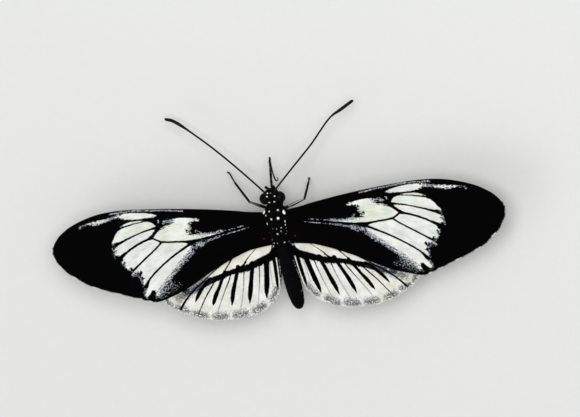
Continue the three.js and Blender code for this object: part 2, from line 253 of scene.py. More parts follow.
def only(obj: bpy.types.Object) -> None:
    """Make one object the only selected and active one.

    Args:
        obj: The object.
    """
    bpy.ops.object.select_all(action="DESELECT")
    obj.select_set(True)
    bpy.context.view_layer.objects.active = obj


def read_points(obj: bpy.types.Object) -> Array:
    """Read an object's vertices.

    Args:
        obj: The object.

    Returns:
        Rows of x, y, z.
    """
    flat = np.empty(len(obj.data.vertices) * 3)
    obj.data.vertices.foreach_get("co", flat)
    return flat.reshape(-1, 3)


def write_points(obj: bpy.types.Object, points: Array) -> None:
    """Move the object's vertices to the given rows of x, y, z."""
    obj.data.vertices.foreach_set("co", np.ascontiguousarray(points, float).ravel())
    obj.data.update()


def paint(obj: bpy.types.Object, name: str, values: Array) -> None:
    """Store one number for each vertex under a name that a material reads."""
    layer = obj.data.attributes.new(name, "FLOAT", "POINT")
    layer.data.foreach_set("value", np.ascontiguousarray(values, np.float32))


def sheet(name: str, across: int, along: int) -> tuple[bpy.types.Object, Array, Array]:
    """Add a square grid to be shaped.

    Args:
        name: The object's name.
        across: Faces along its first side.
        along: Faces along its second side.

    Returns:
        The object, and each vertex's share along the first and the second side.
    """
    bpy.ops.object.select_all(action="DESELECT")
    bpy.ops.mesh.primitive_grid_add(x_subdivisions=across, y_subdivisions=along, size=2)
    obj = bpy.context.active_object
    obj.name = name
    obj.data.name = name
    flat = read_points(obj)
    return obj, (flat[:, 0] + 1) / 2, (flat[:, 1] + 1) / 2


def face_out(obj: bpy.types.Object, merge: bool = True) -> None:
    """Turn every face outwards.

    Args:
        obj: The object.
        merge: Whether the vertices that meet are merged first.
    """
    only(obj)
    bpy.ops.object.mode_set(mode="EDIT")
    bpy.ops.mesh.select_all(action="SELECT")
    if merge:
        bpy.ops.mesh.remove_doubles(threshold=1e-6)
    bpy.ops.mesh.normals_make_consistent(inside=False)
    bpy.ops.object.mode_set(mode="OBJECT")


def soften(obj: bpy.types.Object, degrees: float = 60) -> None:
    """Shade the object smooth, but for edges sharper than the angle."""
    only(obj)
    bpy.ops.object.shade_smooth_by_angle(angle=math.radians(degrees))


def joined(name: str, pieces: Sequence[bpy.types.Object]) -> bpy.types.Object:
    """Join pieces into one object.

    Args:
        name: The joined object's name.
        pieces: The objects to join.

    Returns:
        The joined object.
    """
    bpy.ops.object.select_all(action="DESELECT")
    for piece in pieces:
        piece.select_set(True)
    bpy.context.view_layer.objects.active = pieces[0]
    bpy.ops.object.join()
    pieces[0].name = name
    pieces[0].data.name = name
    return pieces[0]


def cross_frames(path: Array) -> tuple[Array, Array]:
    """Carry two cross directions along a path without twisting them.

    Args:
        path: The path's points.

    Returns:
        Two unit directions at each point, square to the path.
    """
    way = unit(np.gradient(path, axis=0))
    upright = abs(way[0][2]) >= 0.9
    start = np.array([1.0, 0.0, 0.0]) if upright else np.array([0.0, 0.0, 1.0])
    first, second = [], []
    for step in way:
        start = start - step * (start @ step)
        start = start / np.linalg.norm(start)
        first.append(start)
        second.append(np.cross(step, start))
    return np.array(first), np.array(second)


def tube(name: str, path: Array, radii: Array, around: int) -> bpy.types.Object:
    """Make a closed round limb along a path.

    Args:
        name: The object's name.
        path: Points of its middle line, in metres.
        radii: Radius at each point, in metres.
        around: Faces round it.

    Returns:
        The limb, welded, with its faces outwards.
    """
    last = len(path) - 1
    obj, u, v = sheet(name, around, last)
    radii = np.array(radii, float)
    radii[0] = radii[-1] = 0.0
    row = np.clip(np.rint(v * last).astype(int), 0, last)
    first, second = cross_frames(path)
    turn = 2 * math.pi * u
    ring = first[row] * np.cos(turn)[:, None] + second[row] * np.sin(turn)[:, None]
    write_points(obj, path[row] + ring * radii[row][:, None])
    face_out(obj)
    return obj


def capped(line: Array, radii: Array) -> tuple[Array, Array]:
    """Round off both ends of a limb.

    Args:
        line: Its middle line.
        radii: Its radius at each point.

    Returns:
        The line and radii with four more rings that close each end as a dome.
    """
    turns = np.radians([90, 64, 40, 18])
    bulge = 0.9
    head, tail = unit(np.array([line[0] - line[1], line[-1] - line[-2]]))
    before = [line[0] + head * radii[0] * math.sin(t) * bulge for t in turns]
    after = [line[-1] + tail * radii[-1] * math.sin(t) * bulge for t in turns[::-1]]
    thin = [radii[0] * math.cos(t) for t in turns]
    thick = [radii[-1] * math.cos(t) for t in turns[::-1]]
    return np.vstack([before, line, after]), np.concatenate([thin, radii, thick])


def blades(
    name: str, roots: Array, tips: Array, spread: Array, width: Array | float, bow: Array | float
) -> bpy.types.Object:
    """Make many small closed blades, one for each root.

    Args:
        name: The object's name.
        roots: Where the blades stand, in metres.
        tips: Where they end.
        spread: Unit direction of each blade's width.
        width: Width at the root, in metres.
        bow: How far each blade's middle is lifted, as a vector.

    Returns:
        One object of ten triangles a blade.
    """
    thickness, middle_at, middle_width = 0.3, 0.55, 0.75
    way = tips - roots
    half = (spread.T * width / 2).T
    rise = (unit(np.cross(way, spread)).T * width * thickness).T
    middle = roots + way * middle_at + bow
    rings = [roots + half, roots - half, roots + rise, middle + half * middle_width]
    rings += [middle - half * middle_width, middle + rise * middle_width, tips]
    corners = np.stack(rings, axis=1).reshape(-1, 3)
    one = [(0, 1, 2), (6, 4, 3), (6, 5, 4), (6, 3, 5)]
    for a, b in ((0, 1), (1, 2), (2, 0)):
        one += [(a, a + 3, b + 3), (a, b + 3, b)]
    first = len(rings) * np.arange(len(roots))
    faces = (np.array(one)[None] + first[:, None, None]).reshape(-1, 3)
    mesh = bpy.data.meshes.new(name)
    mesh.from_pydata(corners.tolist(), [], faces.tolist())
    obj = bpy.data.objects.new(name, mesh)
    bpy.context.scene.collection.objects.link(obj)
    face_out(obj, merge=False)
    return obj


BLADE_CORNERS = 7  # vertices of one blade


def fit(obj: bpy.types.Object, slot: str, look: bpy.types.Material, *nodes: str) -> None:
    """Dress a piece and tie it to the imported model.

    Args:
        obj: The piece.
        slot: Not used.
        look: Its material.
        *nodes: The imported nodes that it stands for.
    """
    obj.data.materials.clear()
    obj.data.materials.append(look)
    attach(obj, BODY)
    if nodes:
        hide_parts(*nodes)
    LOG.info("%s: %d vertices", obj.name, len(obj.data.vertices))


def fit_horn(obj: bpy.types.Object, slot: str, look: bpy.types.Material, *nodes: str) -> None:
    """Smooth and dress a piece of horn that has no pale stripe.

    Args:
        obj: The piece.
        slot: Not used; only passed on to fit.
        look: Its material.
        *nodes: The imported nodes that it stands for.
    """
    paint(obj, "stripe", np.zeros(len(obj.data.vertices)))
    soften(obj)
    fit(obj, slot, look, *nodes)


class Value:
    """A shader socket that adds Math nodes when it is calculated with."""

    def __init__(self, shader: Shader, socket: Any) -> None:
        """Hold the socket and the shader that it belongs to."""
        self.shader = shader
        self.socket = socket

    def _math(self, operation: str, *values: Any) -> Value:
        """Add one Math node over the given values."""
        inputs = dict(enumerate(values))
        return self.shader.node("ShaderNodeMath", {"operation": operation}, inputs)[0]

    def __add__(self, other: Any) -> Value:
        """self + other"""
        return self._math("ADD", self, other)

    def __sub__(self, other: Any) -> Value:
        """self - other"""
        return self._math("SUBTRACT", self, other)

    def __rsub__(self, other: Any) -> Value:
        """other - self"""
        return self._math("SUBTRACT", other, self)

    def __mul__(self, other: Any) -> Value:
        """self * other"""
        return self._math("MULTIPLY", self, other)

    __radd__ = __add__
    __rmul__ = __mul__

    def over(self, soft: float) -> Value:
        """Step from 0 to 1 where the value rises past zero.

        Args:
            soft: How far to either side of zero the step reaches.

        Returns:
            The step.
        """
        settings = {"interpolation_type": "SMOOTHSTEP"}
        inputs = {"Value": self, "From Min": -soft, "From Max": soft}
        return self.shader.node("ShaderNodeMapRange", settings, inputs)[0]

    def clear(self) -> Value:
        """The value kept between 0 and 1."""
        return self.shader.node("ShaderNodeClamp", {}, {"Value": self})[0]


class Shader:
    """A material under construction."""

    node_columns = 12
    node_step = (190, 240)

    def __init__(self, name: str) -> None:
        """Start an empty material.

        Args:
            name: The material's name.
        """
        self.material = bpy.data.materials.new(name)
        self.material.use_nodes = True
        self.tree = self.material.node_tree
        self.tree.nodes.clear()

    def node(self, kind: str, settings: dict[str, Any], inputs: dict[Any, Any]) -> list[Value]:
        """Add a node.

        Args:
            kind: The node's type.
            settings: Properties set before its sockets are filled.
            inputs: Values or sockets by the name or number of the input.

        Returns:
            The node's enabled outputs.
        """
        row, column = divmod(len(self.tree.nodes), self.node_columns)
        made = self.tree.nodes.new(kind)
        made.location = (column * self.node_step[0], -row * self.node_step[1])
        for key, value in settings.items():
            setattr(made, key, value)
        for key, value in inputs.items():
            if isinstance(key, int):
                socket = made.inputs[key]
            else:
                socket = next(s for s in made.inputs if s.name == key and s.enabled)
            if isinstance(value, Value):
                self.tree.links.new(value.socket, socket)
            else:
                socket.default_value = value
        return [Value(self, socket) for socket in made.outputs if socket.enabled]

    def attribute(self, name: str) -> Value:
        """The number that a piece stores under a name."""
        return self.node("ShaderNodeAttribute", {"attribute_name": name}, {})[2]

    def mix(self, share: Any, first: Any, second: Any) -> Value:
        """Blend two colours, share being how much of the second shows."""
        settings = {"data_type": "RGBA", "clamp_factor": True}
        return self.node("ShaderNodeMix", settings, {"Factor": share, "A": first, "B": second})[0]

    def place(self, stretch: Sequence[float] = (1, 1, 1)) -> Value:
        """The place on the object, in millimetres, stretched along its axes."""
        where = self.node("ShaderNodeTexCoord", {}, {})[3]
        return self.stretched(where, [s / MM for s in stretch])

    def stretched(self, where: Value, scale: Sequence[float]) -> Value:
        """A place scaled along its three axes."""
        return self.node("ShaderNodeMapping", {}, {"Vector": where, "Scale": tuple(scale)})[0]

    def noise(self, where: Value, scale: float, detail: float = 2.0) -> Value:
        """Cloudy noise about one half, its grains 1 / scale millimetres apart."""
        inputs = {"Vector": where, "Scale": scale, "Detail": detail}
        return self.node("ShaderNodeTexNoise", {}, inputs)[0]

    def grains(self, where: Value, scale: float) -> tuple[Value, Value]:
        """Divide a surface into grains.

        Args:
            where: The place on the surface.
            scale: Grains to the millimetre.

        Returns:
            A random number for each grain, and the distance from its middle.
        """
        out = self.node("ShaderNodeTexVoronoi", {}, {"Vector": where, "Scale": scale})
        number = self.node("ShaderNodeSeparateColor", {}, {"Color": out[1]})[0]
        return number, out[0]

    def bump(self, height: Value, distance: float, strength: float) -> Value:
        """A normal bent by a height, distance being its full height in millimetres."""
        inputs = {"Height": height, "Distance": distance * MM, "Strength": strength}
        return self.node("ShaderNodeBump", {}, inputs)[0]

    def finish(self, **inputs: Any) -> bpy.types.Material:
        """Close the material.

        Args:
            **inputs: The surface shader's inputs, with _ for a space.

        Returns:
            The finished material.
        """
        named = {key.replace("_", " "): value for key, value in inputs.items()}
        surface = self.node("ShaderNodeBsdfPrincipled", {}, named)[0]
        self.node("ShaderNodeOutputMaterial", {}, {"Surface": surface})
        return self.material


def tint(*rgb: float) -> Colour:
    """A colour with full alpha."""
    return (*rgb, 1.0)


BLACK = tint(0.0008, 0.0008, 0.001)


@dataclass(frozen=True)
class WingScales:
    """Wing scales: black ground, pale windows with painted shade streaks and painted highlight
    patches, black vein lines and stray pale dust.

    The wings store, in millimetres, how deep each point lies inside the pale windows
    ("pale") and the black lines ("line"), and as shares of one the raggedness of the
    windows' edges, stray pale dust, grey crescents, faint grey vein lines and painted shade
    bands along the forewing's folds, warmth and red.
    """

    name: str
    pale: Colour
    cream: Colour
    dusty: Colour = tint(0.115, 0.13, 0.168)
    bright: Colour = tint(0.5, 0.54, 0.58)
    # painted highlight: colour of the bright patches painted into the white windows
    shine: Colour = tint(0.92, 0.93, 0.91)
    # smoky grey of the crescents and vein lines, also used for the painted shade bands along the
    # forewing's folds
    smoke: Colour = tint(0.034, 0.033, 0.048)
    red: Colour = tint(0.17, 0.003, 0.01)
    # painted shade: colour of the grey-green streaks painted along the windows' cells, also the
    # random darker tone of single scales
    shade: Colour = tint(0.55, 0.57, 0.52)
    underside: Colour = tint(0.16, 0.14, 0.11)
    scale_shape: Sequence[float] = (1.0, 1.6, 1.0)
    scale_grain: float = 10.0
    flake_shape: Sequence[float] = (10.5, 2.3, 1.0)
    fine_grain: float = 3.6
    grit_grain: float = 4.6
    broad_grain: float = 0.55
    roughness: float = 0.5
    relief: float = 0.03

    def light(self, s: Shader, speck: Value, streak: Value, broad: Value) -> Value:
        """Mix the windows' colour, with painted shade streaks along the wing's cells and painted
        highlight patches.

        Args:
            s: The material under construction.
            speck: A random number for each scale.
            streak: Noise that runs along the wing.
            broad: Broad clouds.

        Returns:
            The colour.
        """
        warm = (s.attribute("warm") + (broad - 0.5) * 1.1).clear()
        light = s.mix(warm, self.pale, self.cream)
        # painted shade: grey-green streaks along the wing's cells
        light = s.mix((streak - 0.52).over(0.25) * 0.5, light, self.shade)
        # painted highlight: brighter patches painted into the white
        light = s.mix((broad - streak * 0.4 - 0.33).over(0.2) * 0.6, light, self.shine)
        # single scales darker at random, the scales' own tone
        return s.mix((0.5 - speck).over(0.5) * 0.16, light, self.shade)

    def build(self) -> bpy.types.Material:
        """Make the material.

        Returns:
            The wing material.
        """
        s = Shader(self.name)
        speck, middle = s.grains(s.place(self.scale_shape), self.scale_grain)
        where = s.place()
        fine = s.noise(where, self.fine_grain, 3.0)
        grit = s.noise(where, self.grit_grain)
        broad = s.noise(where, self.broad_grain)
        lines = {"X": s.attribute("run"), "Y": s.attribute("row")}
        ray = s.node("ShaderNodeCombineXYZ", {}, lines)[0]
        streak = s.noise(ray, 1.0, 3.0)
        flake, _ = s.grains(s.stretched(ray, self.flake_shape), 1.0)

        ragged = s.attribute("ragged")
        edge = (flake - 0.5) * (0.07 + ragged * 1.1) + (streak - 0.5) * (0.08 + ragged * 2.2)
        pale = (s.attribute("pale") + edge + (fine - 0.5) * (0.1 + ragged * 0.9)).over(0.05)
        line = (s.attribute("line") + (speck - 0.5) * 0.06 + (fine - 0.5) * 0.13).over(0.035)
        dust = s.attribute("dust") * (grit * 8.4 + streak - 4.0)
        dust = (dust - 0.16 - flake * 0.36).over(0.08)
        grey = s.attribute("grey")
        smoke = (grey * (grit * 7.0 - 2.5) - 0.08 - flake * 0.5).over(0.14)
        smoke = smoke * (grey * 0.5 + speck * 0.35 + 0.15).clear()
        red = (s.attribute("red") - 0.45 - speck * 0.35).over(0.14)

        colour = s.mix(dust, BLACK, s.mix((speck - 0.45).over(0.4), self.dusty, self.bright))
        colour = s.mix(pale, colour, self.light(s, speck, streak, broad))
        # painted shade bands along the forewing's folds, and real faint grey lines along the
        # hindwing's veins
        colour = s.mix(s.attribute("vein_grey_and_fold_shade"), colour, self.smoke)
        colour = s.mix(smoke, colour, self.smoke)
        colour = s.mix(line, colour, BLACK)
        colour = s.mix(red, colour, self.red)
        colour = s.mix(s.attribute("under") * 0.35, colour, self.underside)
        return s.finish(
            Base_Color=colour,
            Roughness=self.roughness + pale * 0.2,
            Normal=s.bump((1 - middle) * 0.6 + fine * 0.4, self.relief, 0.5),
            Specular_IOR_Level=0.012,
        )


@dataclass(frozen=True)
class BodyScales:
    """The body's black coat with its white dots, on the skin and on the tufts alike."""

    name: str
    roughness: float = 0.55
    soot: Colour = tint(0.003, 0.003, 0.004)
    white: Colour = tint(0.93, 0.94, 0.88)
    yellow: Colour = tint(0.70, 0.72, 0.36)
    belly: Colour = tint(0.30, 0.29, 0.25)
    scale_shape: Sequence[float] = (1.0, 0.5, 1.0)
    scale_grain: float = 9.0
    fine_grain: float = 4.0
    relief: float = 0.05

    def build(self) -> bpy.types.Material:
        """Make the material.

        Returns:
            The body material, which reads "dot", "dot_warm" and "belly".
        """
        s = Shader(self.name)
        where = s.place(self.scale_shape)
        speck, middle = s.grains(where, self.scale_grain)
        fine = s.noise(where, self.fine_grain, 3.0)
        dot = (s.attribute("dot") + (fine - 0.5) * 0.05).over(0.03)
        belly = (s.attribute("belly") - 0.3 - speck * 0.6).over(0.25)
        colour = s.mix(fine * 0.9, BLACK, self.soot)
        colour = s.mix(belly * 0.8, colour, self.belly)
        colour = s.mix(dot, colour, s.mix(s.attribute("dot_warm"), self.white, self.yellow))
        return s.finish(
            Base_Color=colour,
            Roughness=self.roughness + fine * 0.2,
            Normal=s.bump((1 - middle) * 0.5 + fine * 0.5, self.relief, 0.6),
            Specular_IOR_Level=0.03,
        )


@dataclass(frozen=True)
class Horn:
    """Black horn of legs, feelers, palps and tongue, with pale stripes where painted."""

    name: str
    roughness: float
    relief: float
    tone: Colour = tint(0.0015, 0.0015, 0.002)
    worn: Colour = tint(0.006, 0.005, 0.005)
    stripe: Colour = tint(0.5, 0.5, 0.55)
    pit_grain: float = 14.0
    fine_grain: float = 5.0

    def build(self) -> bpy.types.Material:
        """Make the material.

        Returns:
            The horn material, which reads "stripe".
        """
        s = Shader(self.name)
        where = s.place()
        speck, middle = s.grains(where, self.pit_grain)
        fine = s.noise(where, self.fine_grain, 3.0)
        stripe = (s.attribute("stripe") - speck * 0.3 - fine * 0.2).over(0.1)
        return s.finish(
            Base_Color=s.mix(stripe, s.mix(fine, self.tone, self.worn), self.stripe),
            Roughness=self.roughness + fine * 0.15,
            Normal=s.bump((1 - middle) * 0.6 + fine * 0.4, self.relief, 0.5),
            Specular_IOR_Level=0.12,
        )


@dataclass(frozen=True)
class Eyeball:
    """The compound eye: near-black, glossy, finely faceted."""

    name: str = "eye_facets"
    tone: Colour = tint(0.001, 0.001, 0.0012)
    cloud: Colour = tint(0.003, 0.002, 0.002)
    glint: Colour = tint(0.006, 0.005, 0.005)
    facet_grain: float = 26.0
    cloud_grain: float = 1.1
    roughness: float = 0.28
    relief: float = 0.008

    def build(self) -> bpy.types.Material:
        """Make the material.

        Returns:
            The eye material.
        """
        s = Shader(self.name)
        where = s.place()
        facet, middle = s.grains(where, self.facet_grain)
        colour = s.mix(s.noise(where, self.cloud_grain), self.tone, self.cloud)
        return s.finish(
            Base_Color=s.mix((0.5 - facet).over(0.5) * 0.2, colour, self.glint),
            Roughness=self.roughness + facet * 0.1,
            Normal=s.bump(1 - middle, self.relief, 0.4),
            Specular_IOR_Level=0.05,
        )


@dataclass(frozen=True)
class Ground:
    """The plain pale floor."""

    name: str = "pale_floor"
    tone: Colour = tint(0.70, 0.71, 0.70)
    cloud: Colour = tint(0.74, 0.745, 0.73)
    cloud_grain: float = 0.8
    roughness: float = 0.85

    def build(self) -> bpy.types.Material:
        """Make the material.

        Returns:
            The floor material.
        """
        s = Shader(self.name)
        fine = s.noise(s.place(), self.cloud_grain, 3.0)
        colour = s.mix(fine, self.tone, self.cloud)
        return s.finish(Base_Color=colour, Roughness=self.roughness + fine * 0.05)


@dataclass
class Stroke:
    """A painted line: its knots, its half width along it, and its strength."""

    knots: Points
    width: Sequence[float]
    strength: float = 1.0

    def path(self) -> tuple[Array, Array]:
        """Smooth the stroke.

        Returns:
            The points of its middle line and its half width at each.
        """
        line = smooth(self.knots, steps=6)
        share = np.linspace(0, 1, len(line))
        return line, np.interp(share, np.linspace(0, 1, len(self.width)), self.width)

    def gap(self, points: Array) -> Array:
        """The points' distances from the stroke's middle line."""
        return -reach(points, self.path()[0], 0.0)


@dataclass
class WingPlan:
    """What is the same for both wings of a pair."""

    slot: str
    level: float
    outline: Points
    apex: int
    heel: int
    root_rear: int
    columns: int
    rows: int
    veins: Sequence[Stroke]
    windows: Sequence[Points]
    marks: Sequence[Stroke] = ()
    dust: Sequence[Stroke] = ()
    ragged: Sequence[Stroke] = ()
    grey: Sequence[Stroke] = ()
    # painted shade bands along the folds on the forewing, real grey vein lines on the hindwing
    vein_grey_and_fold_shade: Sequence[Stroke] = ()
    warm: Sequence[Stroke] = ()
    red: Sequence[Stroke] = ()
    fringe_white: Sequence[tuple[float, float]] = ()


HAZES = ("dust", "ragged", "grey", "vein_grey_and_fold_shade", "warm")


def haze(points: Array, strokes: Sequence[Stroke]) -> Array:
    """Lay soft strokes over points.

    Args:
        points: Points of the wing, out and ahead.
        strokes: Strokes, each fading from its middle line over its width.

    Returns:
        The strongest stroke's share at each point.
    """
    share = np.zeros(len(points))
    for stroke in strokes:
        fade = np.exp(-((stroke.gap(points) / stroke.path()[1].mean()) ** 2))
        share = np.maximum(share, stroke.strength * fade)
    return share


def crisp(points: Array, strokes: Sequence[Stroke]) -> Array:
    """Measure how deep points lie inside crisp strokes.

    Args:
        points: Points of the wing, out and ahead.
        strokes: The strokes.

    Returns:
        The depth inside the deepest stroke, for each point.
    """
    deepest = np.full(len(points), OUTSIDE)
    for stroke in strokes:
        deepest = np.maximum(deepest, reach(points, *stroke.path()))
    return deepest


WINDOW_REAR = [
    [22.5, -10.2], [21.5, -9.1], [20.5, -8.05], [19.55, -7.05], [18.5, -6.15], [17.45, -5.2],
    [16.3, -4.3], [15.2, -3.4],
]

